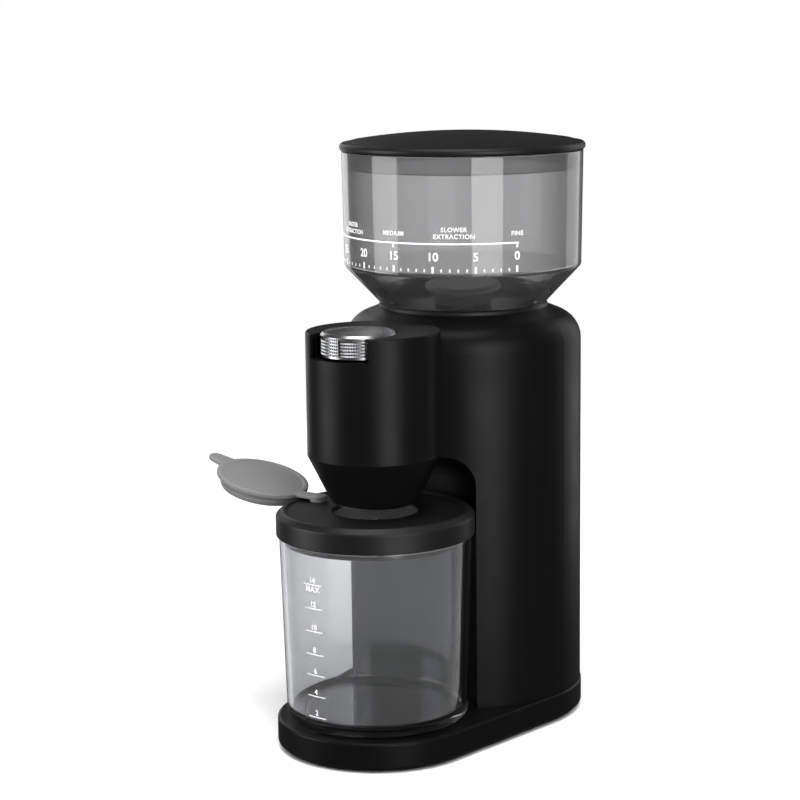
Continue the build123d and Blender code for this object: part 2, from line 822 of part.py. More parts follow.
with BuildPart() as grinding_chamber:
    with BuildSketch(side_plane()):
        closed_outline(
            (shaft_radius + shaft_room, chamber_floor),
            (chamber_radius, chamber_floor),
            (chamber_radius, chamber_rim),
            (chamber_flange, chamber_rim),
            (chamber_flange, chamber_rim - flange_thickness),
            (chamber_radius + chamber_wall, chamber_rim - flange_thickness),
            (chamber_radius + chamber_wall, chamber_floor - chamber_base),
            (bearing_radius + hub_wall, chamber_floor - chamber_base),
            (bearing_radius + hub_wall, chamber_floor - hub_depth),
            (bearing_radius, chamber_floor - hub_depth),
            (bearing_radius, chamber_floor - hub_depth + bearing_height),
            (shaft_radius + shaft_room, chamber_floor - hub_depth + bearing_height),
        )
    revolve(axis=Axis.Z)
    # port that the grounds leave by
    with BuildSketch(flat(chamber_floor)):
        with Locations((0, -chamber_radius)):
            Rectangle(2 * port_half, 20)
    extrude(amount=port_top - chamber_floor, mode=Mode.SUBTRACT)
    with BuildSketch(flat(chamber_rim)):
        with Locations(*collar_screw_spots):
            Circle(collar_screw_radius)
    extrude(amount=-flange_thickness, mode=Mode.SUBTRACT)
    # groove for the interlock pin
    with BuildSketch(flat(chamber_rim)):
        with Locations((0, pin_circle)):
            Circle(pin_radius + 0.2)
    extrude(amount=-flange_thickness - 0.2, mode=Mode.SUBTRACT)
    with BuildSketch(flat(chamber_rim - flange_thickness)):
        with Locations((0, chamber_radius + chamber_wall)):
            Rectangle(9, 6.2)
    extrude(amount=-switch_pocket_depth, mode=Mode.SUBTRACT)
    # ears on the frame posts
    with BuildSketch(flat(chamber_floor - chamber_base)):
        with Locations(*post_spots):
            Circle(post_radius + post_ear)
        Circle(chamber_radius - 2, mode=Mode.SUBTRACT)
    extrude(amount=chamber_base)
save(grinding_chamber, "grinding_chamber")

seal_thickness = 0.9
pin_length = 9.0  # below the chamber's rim
with BuildPart() as neck_seal:
    with BuildSketch(flat(chamber_rim)):
        Circle(hopper_neck_radius - 0.1)
        Circle(chamber_radius + 0.3, mode=Mode.SUBTRACT)
        with Locations((0, pin_circle)):
            Circle(pin_radius + 0.6, mode=Mode.SUBTRACT)
    extrude(amount=seal_thickness)
save(neck_seal, "neck_seal")

with BuildPart() as interlock_pin:
    with BuildSketch(flat(chamber_rim - pin_length)):
        with Locations((0, pin_circle)):
            Circle(pin_radius)
    extrude(amount=pin_length + seal_thickness)
save(interlock_pin, "interlock_pin")

switch_width = 8.0
switch_depth = 14.0
switch_height = 6.0
with BuildPart() as interlock_switch:
    with BuildSketch(flat(chamber_rim - pin_length - switch_height)):
        with Locations((0, chamber_radius + 1.4)):
            Rectangle(switch_width, switch_depth, align=(Align.CENTER, Align.MIN))
    extrude(amount=switch_height)
    # the part inside the chamber's wall is cut back to its pocket
    with BuildSketch(flat(chamber_rim - 20)):
        Circle(chamber_radius + 1.2)
    extrude(amount=12, mode=Mode.SUBTRACT)
save(interlock_switch, "interlock_switch")

# ================================================================ burrs
carrier_bottom = chamber_floor + 11.4
carrier_top = chamber_rim - 1.4
cone_base = chamber_floor + 9.9
cone_tip_radius = 11.0
cone_lean = (cone_burr_radius - cone_tip_radius) / cone_burr_height
fine_teeth = 24
feed_teeth = 8
carrier_lip = 4.0  # the carrier's lip over the top of the ring burr
burr_screw_radius = 1.2
ring_screw_spots = ring_of(3, ring_burr_radius + 2.0, 90)


def cone_radius(z):
    return cone_burr_radius - (z - cone_base) * cone_lean


with BuildPart() as burr_carrier:
    with BuildSketch(side_plane()):
        closed_outline(
            (ring_burr_radius, carrier_bottom),
            (chamber_radius - running, carrier_bottom),
            (chamber_radius - running, carrier_top),
            (key_inner - 1.5, carrier_top),
            (ring_burr_radius - carrier_lip, carrier_bottom + ring_burr_height + 2),
            (ring_burr_radius - carrier_lip, carrier_bottom + ring_burr_height),
            (ring_burr_radius, carrier_bottom + ring_burr_height),
        )
    revolve(axis=Axis.Z)
    with BuildSketch(flat(carrier_top)):
        with PolarLocations((key_inner + key_outer) / 2, key_count, start_angle=30):
            Rectangle(key_outer - key_inner + 2, key_width + 2 * key_slack)
    extrude(amount=-5.6, mode=Mode.SUBTRACT)
    with BuildSketch(flat(carrier_bottom)):
        with Locations(*ring_screw_spots):
            Circle(burr_screw_radius + 0.1)
    extrude(amount=8, mode=Mode.SUBTRACT)
save(burr_carrier, "burr_carrier")
screws(
    "ring_burr_screws",
    ring_screw_spots,
    carrier_bottom,
    shank_radius=burr_screw_radius,
    shank_length=6,
    head_radius=2.6,
    head_height=1.0,
    up=False,
)

ring_low = cone_radius(carrier_bottom) + burr_gap
ring_high = cone_radius(carrier_bottom + ring_burr_height) + burr_gap + 2.0
ring_lean = (ring_low - ring_high) / ring_burr_height

with BuildPart() as ring_groove:
    with BuildSketch(Plane(origin=(ring_low, 0, carrier_bottom), x_dir=(0, 1, 0), z_dir=(-ring_lean, 0, 1))):
        closed_outline((-1.1, 0.3), (1.1, 0.3), (0, -1.3))
    extrude(amount=ring_burr_height * 1.3, both=True)

with BuildPart() as ring_burr:
    with BuildSketch(side_plane()):
        closed_outline(
            (ring_low, carrier_bottom),
            (ring_burr_radius, carrier_bottom),
            (ring_burr_radius, carrier_bottom + ring_burr_height),
            (ring_high, carrier_bottom + ring_burr_height),
        )
    revolve(axis=Axis.Z)
    with PolarLocations(0, fine_teeth):
        add(ring_groove.part, mode=Mode.SUBTRACT)
save(ring_burr, "ring_burr")

hub_radius = 9.0
# drawing plane at the foot of the cone burr's slanting side
cone_edge = Plane(origin=(cone_burr_radius, 0, cone_base), x_dir=(0, 1, 0), z_dir=(-cone_lean, 0, 1))
with BuildPart() as cone_groove:
    with BuildSketch(cone_edge):
        closed_outline((-1.0, -0.3), (1.0, -0.3), (0, 1.2))
    extrude(amount=cone_burr_height * 0.5, both=True)

with BuildPart() as feed_groove:
    with BuildSketch(cone_edge):
        closed_outline((-2.6, -0.6), (1.2, -0.6), (0.9, 2.6))
    extrude(amount=cone_burr_height * 1.3, both=True)
    # the deep feed cuts are only on the upper half
    with BuildSketch(flat(cone_base + cone_burr_height * 0.5)):
        Circle(4 * cone_burr_radius)
    extrude(amount=-4 * cone_burr_height, mode=Mode.SUBTRACT)

with BuildPart() as cone_burr:
    with BuildSketch(side_plane()):
        closed_outline(
            (shaft_radius, cone_base),
            (cone_burr_radius, cone_base),
            (cone_tip_radius, cone_base + cone_burr_height),
            (shaft_radius, cone_base + cone_burr_height),
        )
    revolve(axis=Axis.Z)
    with PolarLocations(0, fine_teeth):
        add(cone_groove.part, mode=Mode.SUBTRACT)
    with PolarLocations(0, feed_teeth):
        add(feed_groove.part, mode=Mode.SUBTRACT)
save(cone_burr, "cone_burr")

sweeper_floor = chamber_floor + 1.0
sweeper_radius = chamber_radius - 1.0
sweeper_disc = 2.0
sweeper_blades = 4
blade_height = 8.0
blade_width = 2.4
with BuildPart() as sweeper:
    with BuildSketch(flat(sweeper_floor)):
        Circle(sweeper_radius)
    extrude(amount=sweeper_disc)
    with BuildSketch(flat(sweeper_floor)):
        Circle(hub_radius)
    extrude(amount=cone_base - sweeper_floor)
    with BuildSketch(flat(sweeper_floor)):
        with PolarLocations((sweeper_radius + hub_radius) / 2, sweeper_blades):
            Rectangle(sweeper_radius - hub_radius - 1.0, blade_width)
    extrude(amount=blade_height)
    with BuildSketch(flat(sweeper_floor)):
        Circle(shaft_radius)
    extrude(amount=cone_base - sweeper_floor, mode=Mode.SUBTRACT)
save(sweeper, "sweeper")

shaft_bottom = gearbox_floor + gearbox_plate + 10.5
shaft_top = cone_base + cone_burr_height + 6
with BuildPart() as drive_shaft:
    with BuildSketch(flat(shaft_bottom)):
        Circle(shaft_radius)
    extrude(amount=shaft_top - shaft_bottom)
    chamfer(drive_shaft.edges().group_by(Axis.Z)[-1], 0.8)
save(drive_shaft, "drive_shaft")

nut_radius = 8.0
nut_height = 4.5
with BuildPart() as burr_nut:
    with BuildSketch(flat(cone_base + cone_burr_height)):
        RegularPolygon(nut_radius, 6)
        Circle(shaft_radius, mode=Mode.SUBTRACT)
    extrude(amount=nut_height)
save(burr_nut, "burr_nut")

# ================================================================ grounds duct
with BuildPart() as grounds_duct:
    with BuildSketch(flat(chamber_floor - duct_wall)):
        with Locations((0, -reach)):
            Rectangle(2 * (port_half + duct_wall), reach - chamber_radius, align=(Align.CENTER, Align.MIN))
            Circle(chute_radius + duct_wall)
    extrude(amount=port_top - chamber_floor + 2 * duct_wall)
    with BuildSketch(flat(spout_mouth + 0.5)):
        with Locations((0, -reach)):
            Circle(chute_radius + duct_wall)
    extrude(amount=chamber_floor - spout_mouth)
    with BuildSketch(flat(chamber_floor)):
        with Locations((0, -reach)):
            Rectangle(2 * port_half, reach, align=(Align.CENTER, Align.MIN))
            Circle(chute_radius)
    extrude(amount=port_top - chamber_floor, mode=Mode.SUBTRACT)
    with BuildSketch(flat(spout_mouth)):
        with Locations((0, -reach)):
            Circle(chute_radius)
    extrude(amount=chamber_floor - spout_mouth + 1, mode=Mode.SUBTRACT)
    with BuildSketch(flat(chamber_floor - 5)):
        Circle(chamber_radius + chamber_wall + 0.1)
    extrude(amount=30, mode=Mode.SUBTRACT)
save(grounds_duct, "grounds_duct")

# ================================================================ gearbox
gear_space = 1.5
output_tip = gear_module * (output_gear_teeth / 2 + 0.9)
layshaft_tip = gear_module * (layshaft_gear_teeth / 2 + 0.9)
case_wall = 2.5
bearing_seat_wall = 2.5
bearing_floor = 1.5
end_room = 1.0  # between a gear and the end of the pin or shaft near it
layshaft_gear_width = 7.0
layshaft_pinion_width = 14.0
layshaft_gear_rise = 1.5
output_gear_rise = 11.5
output_gear_width = 9.0
output_hub_height = 4.5


def gearcase_outline(grow):
    Circle(output_tip + gear_space + grow)
    with Locations((0, layshaft_y)):
        Circle(layshaft_tip + gear_space + grow)
    make_hull()


def plate_outline():
    Circle(output_tip + gear_space + case_wall)
    with Locations((0, layshaft_y)):
        Circle(layshaft_tip + gear_space + case_wall)
    with Locations(*post_spots):
        Circle(post_radius + 2.5)
    make_hull()


gear_floor = gearbox_floor + gearbox_plate
gear_ceiling = gear_floor + gear_train
with BuildPart() as gearcase:
    with BuildSketch(flat(gearbox_floor)):
        plate_outline()
    extrude(amount=gearbox_plate)
    with BuildSketch(flat(gearbox_floor)):
        gearcase_outline(case_wall)
    extrude(amount=gearbox_plate + gear_train)
    with BuildSketch(flat(gear_floor)):
        gearcase_outline(0)
    extrude(amount=gear_train, mode=Mode.SUBTRACT)
    with BuildSketch(flat(gearbox_floor)):
        Circle(9)
        with Locations((0, layshaft_y)):
            Circle(layshaft_radius)
    extrude(amount=gearbox_plate, mode=Mode.SUBTRACT)
save(gearcase, "gearcase")

with BuildPart() as gearcase_cover:
    with BuildSketch(flat(gear_ceiling)):
        plate_outline()
    extrude(amount=gearbox_plate)
    with BuildSketch(flat(gear_ceiling)):
        Circle(bearing_radius + bearing_seat_wall)
    extrude(amount=bearing_height + bearing_floor)
    with BuildSketch(flat(gear_ceiling)):
        Circle(shaft_radius + shaft_room)
    extrude(amount=bearing_height + bearing_floor, mode=Mode.SUBTRACT)
    with BuildSketch(flat(gear_ceiling + bearing_floor)):
        Circle(bearing_radius)
    extrude(amount=bearing_height, mode=Mode.SUBTRACT)
    with BuildSketch(flat(gear_ceiling)):
        with Locations((0, layshaft_y)):
            Circle(layshaft_radius)
    extrude(amount=gearbox_plate - end_room, mode=Mode.SUBTRACT)
save(gearcase_cover, "gearcase_cover")

with BuildPart() as shaft_bearings:
    for z in (gear_ceiling + bearing_floor, chamber_floor - hub_depth):
        with BuildSketch(flat(z)):
            Circle(bearing_radius)
            Circle(shaft_radius + running, mode=Mode.SUBTRACT)
        extrude(amount=bearing_height)
save(shaft_bearings, "shaft_bearings")

with BuildPart() as layshaft_pin:
    with BuildSketch(flat(gearbox_floor)):
        with Locations((0, layshaft_y)):
            Circle(layshaft_radius)
    extrude(amount=gearbox_plate * 2 + gear_train - end_room)
save(layshaft_pin, "layshaft_pin")

with BuildPart() as layshaft_gear:
    with BuildSketch(Plane(origin=(0, layshaft_y, gear_floor + layshaft_gear_rise))):
        gear_outline(layshaft_gear_teeth, -90 + 180 / layshaft_gear_teeth)
    extrude(amount=layshaft_gear_width)
    layshaft_pinion_floor = gear_floor + layshaft_gear_rise + layshaft_gear_width
    with BuildSketch(Plane(origin=(0, layshaft_y, layshaft_pinion_floor))):
        gear_outline(layshaft_pinion_teeth, -90)
    extrude(amount=layshaft_pinion_width)
    with BuildSketch(Plane(origin=(0, layshaft_y, gear_floor + 1.0))):
        Circle(layshaft_radius + running)
    extrude(amount=30, mode=Mode.SUBTRACT)
save(layshaft_gear, "layshaft_gear")

with BuildPart() as output_gear:
    with BuildSketch(flat(gear_floor + output_gear_rise)):
        gear_outline(output_gear_teeth, 90 + 180 / output_gear_teeth)
        Circle(shaft_radius, mode=Mode.SUBTRACT)
    extrude(amount=output_gear_width)
    with BuildSketch(flat(gear_floor + output_gear_rise + output_gear_width)):
        Circle(hub_radius)
        Circle(shaft_radius, mode=Mode.SUBTRACT)
    extrude(amount=output_hub_height)
save(output_gear, "output_gear")

# ================================================================ motor
shell_wall = 1.6
rotor_length = motor_height - 40.0
rotor_bottom = motor_bottom + 24
bush_height = 5.0
bush_radius = 6.0
end_plate = 3.0
can_floor = 2.0
magnet_gap = 1.2
slot_count = 9
slot_depth = 7.0
slot_width = 2.2
fan_bottom = motor_bottom + 8
fan_height = 10.0
fan_blades = 10
fan_radius = motor_radius - 5

with BuildPart() as motor_can:
    with BuildSketch(flat(motor_bottom)):
        Circle(motor_radius)
    extrude(amount=motor_height - end_plate)
    with BuildSketch(flat(motor_bottom + can_floor)):
        Circle(motor_radius - shell_wall)
    extrude(amount=motor_height, mode=Mode.SUBTRACT)
    with BuildSketch(flat(motor_bottom)):
        with PolarLocations(16, 8):
            Circle(3)
        Circle(bush_radius)
    extrude(amount=can_floor, mode=Mode.SUBTRACT)
save(motor_can, "motor_can")

with BuildPart() as motor_end_plate:
    with BuildSketch(flat(motor_top - end_plate)):
        Circle(motor_radius)
        Circle(bush_radius, mode=Mode.SUBTRACT)
        with PolarLocations(17, 6, start_angle=30):
            Circle(2.5, mode=Mode.SUBTRACT)
    extrude(amount=end_plate)
save(motor_end_plate, "motor_end_plate")

with BuildPart() as motor_bushes:
    for z in (motor_bottom, motor_top - bush_height):
        with BuildSketch(flat(z)):
            Circle(bush_radius)
            Circle(motor_shaft_radius + running, mode=Mode.SUBTRACT)
        extrude(amount=bush_height)
save(motor_bushes, "motor_bushes")

with BuildPart() as magnets:
    with BuildSketch(flat(rotor_bottom)):
        Circle(motor_radius - shell_wall)
        Circle(rotor_radius + magnet_gap, mode=Mode.SUBTRACT)
        Rectangle(2 * motor_radius, 16, mode=Mode.SUBTRACT)
    extrude(amount=rotor_length)
save(magnets, "magnets")

with BuildPart() as motor_shaft:
    with BuildSketch(flat(motor_bottom)):
        Circle(motor_shaft_radius)
    extrude(amount=gear_floor + 10 - motor_bottom)
save(motor_shaft, "motor_shaft")

with BuildPart() as rotor:
    with BuildSketch(flat(rotor_bottom)):
        Circle(rotor_radius)
        with PolarLocations(rotor_radius - 2.5, slot_count):
            Rectangle(slot_depth, slot_width, mode=Mode.SUBTRACT)
        Circle(motor_shaft_radius, mode=Mode.SUBTRACT)
    extrude(amount=rotor_length)
    with BuildSketch(flat(rotor_bottom + rotor_length)):
        Circle(10)
        Circle(motor_shaft_radius, mode=Mode.SUBTRACT)
    extrude(amount=4)
save(rotor, "rotor")

with BuildPart() as cooling_fan:
    with BuildSketch(flat(fan_bottom)):
        Circle(hub_radius)
        Circle(motor_shaft_radius, mode=Mode.SUBTRACT)
    extrude(amount=fan_height)
    with BuildSketch(flat(fan_bottom)):
        Circle(fan_radius)
        Circle(hub_radius - 1, mode=Mode.SUBTRACT)
    extrude(amount=1.2)
    with BuildSketch(flat(fan_bottom)):
        with PolarLocations(14.6, fan_blades):
            Rectangle(13, 1.2)
    extrude(amount=fan_height - 1)
save(cooling_fan, "cooling_fan")

with BuildPart() as motor_pinion:
    with BuildSketch(flat(gear_floor + 1.0)):
        gear_outline(motor_pinion_teeth, 90)
        Circle(motor_shaft_radius, mode=Mode.SUBTRACT)
    extrude(amount=8.5)
save(motor_pinion, "motor_pinion")

mount_circle = 20.0
mount_count = 3
mount_radius = 4.5
with BuildPart() as motor_mounts:
    with BuildSketch(flat(base_top)):
        with PolarLocations(mount_circle, mount_count, start_angle=90):
            Circle(mount_radius)
    extrude(amount=motor_bottom - base_top)
save(motor_mounts, "motor_mounts")

# ================================================================ frame posts and electrics
lower_posts = (base_top, gearbox_floor)
upper_posts = (gear_ceiling + gearbox_plate, chamber_floor - chamber_base)
with BuildPart() as frame_posts:
    for low_z, high_z in (lower_posts, upper_posts):
        with BuildSketch(flat(low_z)):
            with Locations(*post_spots):
                Circle(post_radius)
        extrude(amount=high_z - low_z)
save(frame_posts, "frame_posts")

board_y = 50.0
board_half = 27.0
board_bottom = base_top + 8
board_height = 62.0
board_thickness = 1.6
rail_side = 5.0
with BuildPart() as control_board:
    with BuildSketch(Plane(origin=(0, board_y, board_bottom), x_dir=(1, 0, 0), z_dir=(0, -1, 0))):
        with Locations((0, board_height / 2)):
            Rectangle(2 * board_half, board_height)
    extrude(amount=-board_thickness)
save(control_board, "control_board")

with BuildPart() as board_parts:
    with BuildSketch(side_plane(board_y)):
        with Locations((-15, board_bottom + 14)):
            Rectangle(16, 20)
    extrude(amount=12)
    with BuildSketch(side_plane(board_y)):
        with Locations((12, board_bottom + 14)):
            Circle(7)
    extrude(amount=16)
    with BuildSketch(side_plane(board_y)):
        with Locations((0, board_bottom + 48)):
            Rectangle(34, 10)
    extrude(amount=9)
save(board_parts, "board_parts")

with BuildPart() as board_rails:
    for side in (-1, 1):
        with BuildSketch(flat(base_top)):
            with Locations((side * (board_half + 0.5), board_y + board_thickness / 2)):
                Rectangle(rail_side, rail_side)
        extrude(amount=board_height + 10)
    with BuildSketch(flat(board_bottom)):
        with Locations((0, board_y + board_thickness / 2)):
            Rectangle(2 * board_half, board_thickness)
    extrude(amount=board_height + 4, mode=Mode.SUBTRACT)
save(board_rails, "board_rails")

# ================================================================ container
container_top = base_top + container_height
container_low = container_radius - container_draft
lid_low = container_top - 3.0
lid_plug_radius = container_radius - container_wall - 0.5
lid_plug_depth = 7.0
lid_plug_wall = 2.6
lid_recess = 1.2
lid_slope_height = 3.0
lid_slope_width = 3.4
seal_top = container_top - 1.5
seal_height = 3.0
seal_depth = 1.2
floor_fillet = 4.0

with BuildPart() as container:
    with BuildSketch(side_plane(-reach)):
        closed_outline(
            (0, base_top),
            (container_low, base_top),
            (container_radius, container_top),
            (container_radius - container_wall, container_top),
            (container_low - container_wall, base_top + container_floor),
            (0, base_top + container_floor),
        )
    revolve(axis=spout_axis)
    fillet(container.edges().group_by(Axis.Z)[0], container_corner)
    inner_corner = container.edges().filter_by(GeomType.CIRCLE)
    fillet(
        inner_corner.filter_by_position(
            Axis.Z, base_top + container_floor - 0.1, base_top + container_floor + 0.1
        ),
        floor_fillet,
    )
save(container, "container")

crown_z = container_lid_top
lid_thickness = 4.0
with BuildPart() as container_lid:
    with BuildSketch(side_plane(-reach)):
        closed_outline(
            (mouth_radius, crown_z - lid_recess),
            (lid_radius - 6.5, crown_z - lid_recess),
            (lid_radius - 5.4, crown_z),
            (lid_radius - lid_slope_width, crown_z),
            (lid_radius, crown_z - lid_slope_height),
            (lid_radius, lid_low),
            (container_radius + gap, lid_low),
            (container_radius + gap, container_top + 0.1),
            (lid_plug_radius, container_top + 0.1),
            (lid_plug_radius, seal_top),
            (lid_plug_radius - seal_depth, seal_top),
            (lid_plug_radius - seal_depth, seal_top - seal_height),
            (lid_plug_radius, seal_top - seal_height),
            (lid_plug_radius, container_top - lid_plug_depth),
            (lid_plug_radius - lid_plug_wall, container_top - lid_plug_depth),
            (lid_plug_radius - lid_plug_wall, crown_z - lid_thickness),
            (mouth_radius, crown_z - lid_thickness),
        )
    revolve(axis=spout_axis)
    slope_end = crown_z - lid_slope_height
    outer_corner = container_lid.edges().filter_by(GeomType.CIRCLE)
    fillet(outer_corner.filter_by_position(Axis.Z, slope_end - 0.01, slope_end + 0.01), 2.2)
    with BuildSketch(flat(crown_z)):
        with Locations((-cap_reach, -reach)):
            Circle(strap_pin_radius + running)
    extrude(amount=-6, mode=Mode.SUBTRACT)
save(container_lid, "container_lid")

with BuildPart() as container_seal:
    with BuildSketch(flat(seal_top - seal_height)):
        with Locations((0, -reach)):
            Circle(lid_plug_radius + 0.25)
            Circle(lid_plug_radius - seal_depth, mode=Mode.SUBTRACT)
    extrude(amount=seal_height)
save(container_seal, "container_seal")

# ================================================================ silicone cap, swung clear of the spout
lean = radians(cap_tilt)
cap_centre = (-2 * cap_reach, -reach, crown_z + cap_rise)
cap_plane = Plane(origin=cap_centre, x_dir=(cos(lean), 0, -sin(lean)), z_dir=(sin(lean), 0, cos(lean)))
strap_low = crown_z + gap
strap_thickness = 2.2
tab_radius = 5.0
tab_length = 22.0
cap_plug_wall = 2.5

with BuildPart() as spout_cap:
    with BuildSketch(cap_plane):
        Circle(cap_radius)
    extrude(amount=-cap_thickness)
    with BuildSketch(cap_plane):
        with Locations((-cap_radius - 2, 0)):
            SlotOverall(tab_length, 2 * tab_radius)
    extrude(amount=-cap_thickness)
    fillet(spout_cap.faces().sort_by(Axis(cap_centre, tuple(cap_plane.z_dir)))[-1].edges(), 1.0)
    with BuildSketch(cap_plane.offset(-cap_thickness)):
        Circle(cap_plug_radius)
        Circle(cap_plug_radius - cap_plug_wall, mode=Mode.SUBTRACT)
    extrude(amount=-cap_plug_depth)
    # strap from the disc's inner edge to the boss on the container lid
    with BuildSketch(flat(strap_low)):
        with Locations((-cap_reach, -reach)):
            Rectangle(cap_reach - cap_radius + 6, 2 * strap_boss_radius - 2, align=(Align.MAX, Align.CENTER))
            Circle(strap_boss_radius)
    extrude(amount=strap_thickness)
    with BuildSketch(flat(crown_z - 1.1)):
        with Locations((-cap_reach, -reach)):
            Circle(strap_boss_radius)
    extrude(amount=strap_low - crown_z + 1.2)
    with BuildSketch(flat(crown_z - 4.3)):
        with Locations((-cap_reach, -reach)):
            Circle(strap_pin_radius)
    extrude(amount=4)
    with BuildSketch(flat(crown_z - 5.5)):
        with Locations((-cap_reach, -reach)):
            Circle(strap_pin_radius + 1)
    extrude(amount=1.3)
save(spout_cap, "spout_cap")
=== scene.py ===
"""Burr coffee grinder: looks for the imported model.

Lengths are written in millimetres and scaled by MM. Angles round the hopper and the container are
counted from the front (-Y), positive towards +X.
"""

import math

import bmesh
import bpy
from mathutils import Matrix, Vector


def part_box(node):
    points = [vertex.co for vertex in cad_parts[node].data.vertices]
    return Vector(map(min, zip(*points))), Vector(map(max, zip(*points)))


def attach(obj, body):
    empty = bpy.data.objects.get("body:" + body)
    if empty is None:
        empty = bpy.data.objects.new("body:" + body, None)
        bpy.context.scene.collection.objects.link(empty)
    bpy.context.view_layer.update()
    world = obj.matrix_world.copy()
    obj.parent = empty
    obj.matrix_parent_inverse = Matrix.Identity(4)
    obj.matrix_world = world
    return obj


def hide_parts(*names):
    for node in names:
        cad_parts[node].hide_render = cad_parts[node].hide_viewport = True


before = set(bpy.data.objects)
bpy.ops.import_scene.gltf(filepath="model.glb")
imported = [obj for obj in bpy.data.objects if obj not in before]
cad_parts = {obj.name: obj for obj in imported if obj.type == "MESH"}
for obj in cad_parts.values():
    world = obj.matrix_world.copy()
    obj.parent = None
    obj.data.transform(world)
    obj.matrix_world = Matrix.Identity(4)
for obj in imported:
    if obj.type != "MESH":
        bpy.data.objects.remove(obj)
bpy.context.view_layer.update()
MM = 0.001

# ------------------------------------------------------------------ sizes read from the frame


def low(node):
    return [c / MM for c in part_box(node)[0]]


def high(node):
    return [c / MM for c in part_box(node)[1]]


def middle(node):
    return [(a + b) / 2 for a, b in zip(low(node), high(node))]


COLUMN_AXIS = (0.0, 0.0)
SPOUT_AXIS = (0.0, middle("container")[1])
DIAL_AXIS = (0.0, middle("dial_knob")[1])
CORNER_STEPS = 6  # straight steps in a rounded corner


# ------------------------------------------------------------------ colours and nodes
def linear(hex_colour, alpha=1.0):
    """sRGB hex to the linear colour that shaders take."""
    parts = [int(hex_colour[i : i + 2], 16) / 255 for i in (1, 3, 5)]
    straight = [c / 12.92 if c <= 0.04045 else ((c + 0.055) / 1.055) ** 2.4 for c in parts]
    return (*straight, alpha)


def node(material, kind, settings=None, links=None):
    """Adds a node; settings go to its properties or inputs, links join its inputs to sockets."""
    made = material.node_tree.nodes.new(kind)
    for key, value in (settings or {}).items():
        if isinstance(key, str) and hasattr(made, key):
            setattr(made, key, value)
        else:
            made.inputs[key].default_value = value
    for key, socket in (links or {}).items():
        material.node_tree.links.new(socket, made.inputs[key])
    return made


def new_material(name, colour, roughness, **inputs):
    """A Principled material; returns it with its shader node."""
    material = bpy.data.materials.new(name)
    material.use_nodes = True
    shader = material.node_tree.nodes["Principled BSDF"]
    shader.inputs["Base Color"].default_value = linear(colour)
    shader.inputs["Roughness"].default_value = roughness
    for key, value in inputs.items():
        shader.inputs[key.replace("_", " ")].default_value = value
    material.diffuse_color = linear(colour)
    return material, shader


def place(material):
    """Coordinates fixed to the piece, in metres."""
    return node(material, "ShaderNodeTexCoord").outputs["Object"]


def grain(material, shader, size, depth, colours=None, rough=None, stretch=(1, 1, 1), detail=3.0):
    """Noise of that grain size in mm: bump of that depth in mm, with colour and roughness to match."""
    spread = node(material, "ShaderNodeMapping", {"Scale": stretch}, {"Vector": place(material)})
    noise = node(
        material,
        "ShaderNodeTexNoise",
        {"Scale": 1 / (size * MM), "Detail": detail, "Roughness": 0.55},
        {"Vector": spread.outputs["Vector"]},
    )
    if depth:
        bump = node(
            material,
            "ShaderNodeBump",
            {"Strength": 1.0, "Distance": depth * MM},
            {"Height": noise.outputs["Fac"]},
        )
        material.node_tree.links.new(bump.outputs["Normal"], shader.inputs["Normal"])
    if colours:
        ramp = node(material, "ShaderNodeValToRGB", {}, {"Fac": noise.outputs["Fac"]})
        ramp.color_ramp.elements[0].position = 0.3
        ramp.color_ramp.elements[1].position = 0.7
        ramp.color_ramp.elements[0].color = linear(colours[0])
        ramp.color_ramp.elements[1].color = linear(colours[1])
        material.node_tree.links.new(ramp.outputs["Color"], shader.inputs["Base Color"])
    if rough:
        cloud = node(
            material,
            "ShaderNodeTexNoise",
            {"Scale": 1 / (25 * MM), "Detail": 2.0},
            {"Vector": spread.outputs["Vector"]},
        )
        span = node(
            material,
            "ShaderNodeMapRange",
            {"From Min": 0.3, "From Max": 0.7, "To Min": rough[0], "To Max": rough[1]},
            {"Value": cloud.outputs["Fac"]},
        )
        material.node_tree.links.new(span.outputs["Result"], shader.inputs["Roughness"])


# ------------------------------------------------------------------ materials
def satin_abs():
    # moulded ABS with a fine spark texture: black, with soft-edged reflections
    material, shader = new_material("satin_abs", "#161617", 0.40, IOR=1.52, Specular_IOR_Level=0.2)
    # spark texture is about 0.1 mm; drawn at 0.5 mm, the finest that shows
    grain(material, shader, 0.5, 0.006, ("#141415", "#19191a"), (0.36, 0.43))
    return material


def lid_abs():
    # the same ABS from a smoother mould: a little greyer where light skims it
    material, shader = new_material("lid_abs", "#1c1c1d", 0.46, IOR=1.52)
    grain(material, shader, 0.6, 0.006, ("#1a1a1b", "#212122"), (0.42, 0.50))
    return material


def inner_nylon():
    # glass-filled nylon of the hidden mouldings: dull, with a faint fibre streak
    material, shader = new_material("inner_nylon", "#222326", 0.62, IOR=1.53)
    grain(material, shader, 0.8, 0.02, ("#1e1f22", "#2a2b2e"), (0.55, 0.7), (1, 1, 0.25))
    return material


def white_acetal():
    # machined acetal gears: ivory, waxy, light soaks in a little
    material, shader = new_material("white_acetal", "#e2dfd5", 0.38, IOR=1.48)
    shader.inputs["Subsurface Weight"].default_value = 0.15
    shader.inputs["Subsurface Radius"].default_value = (0.002, 0.0018, 0.0014)
    grain(material, shader, 3.0, 0.01, ("#dcd8cc", "#e8e5dc"), (0.32, 0.45))
    return material


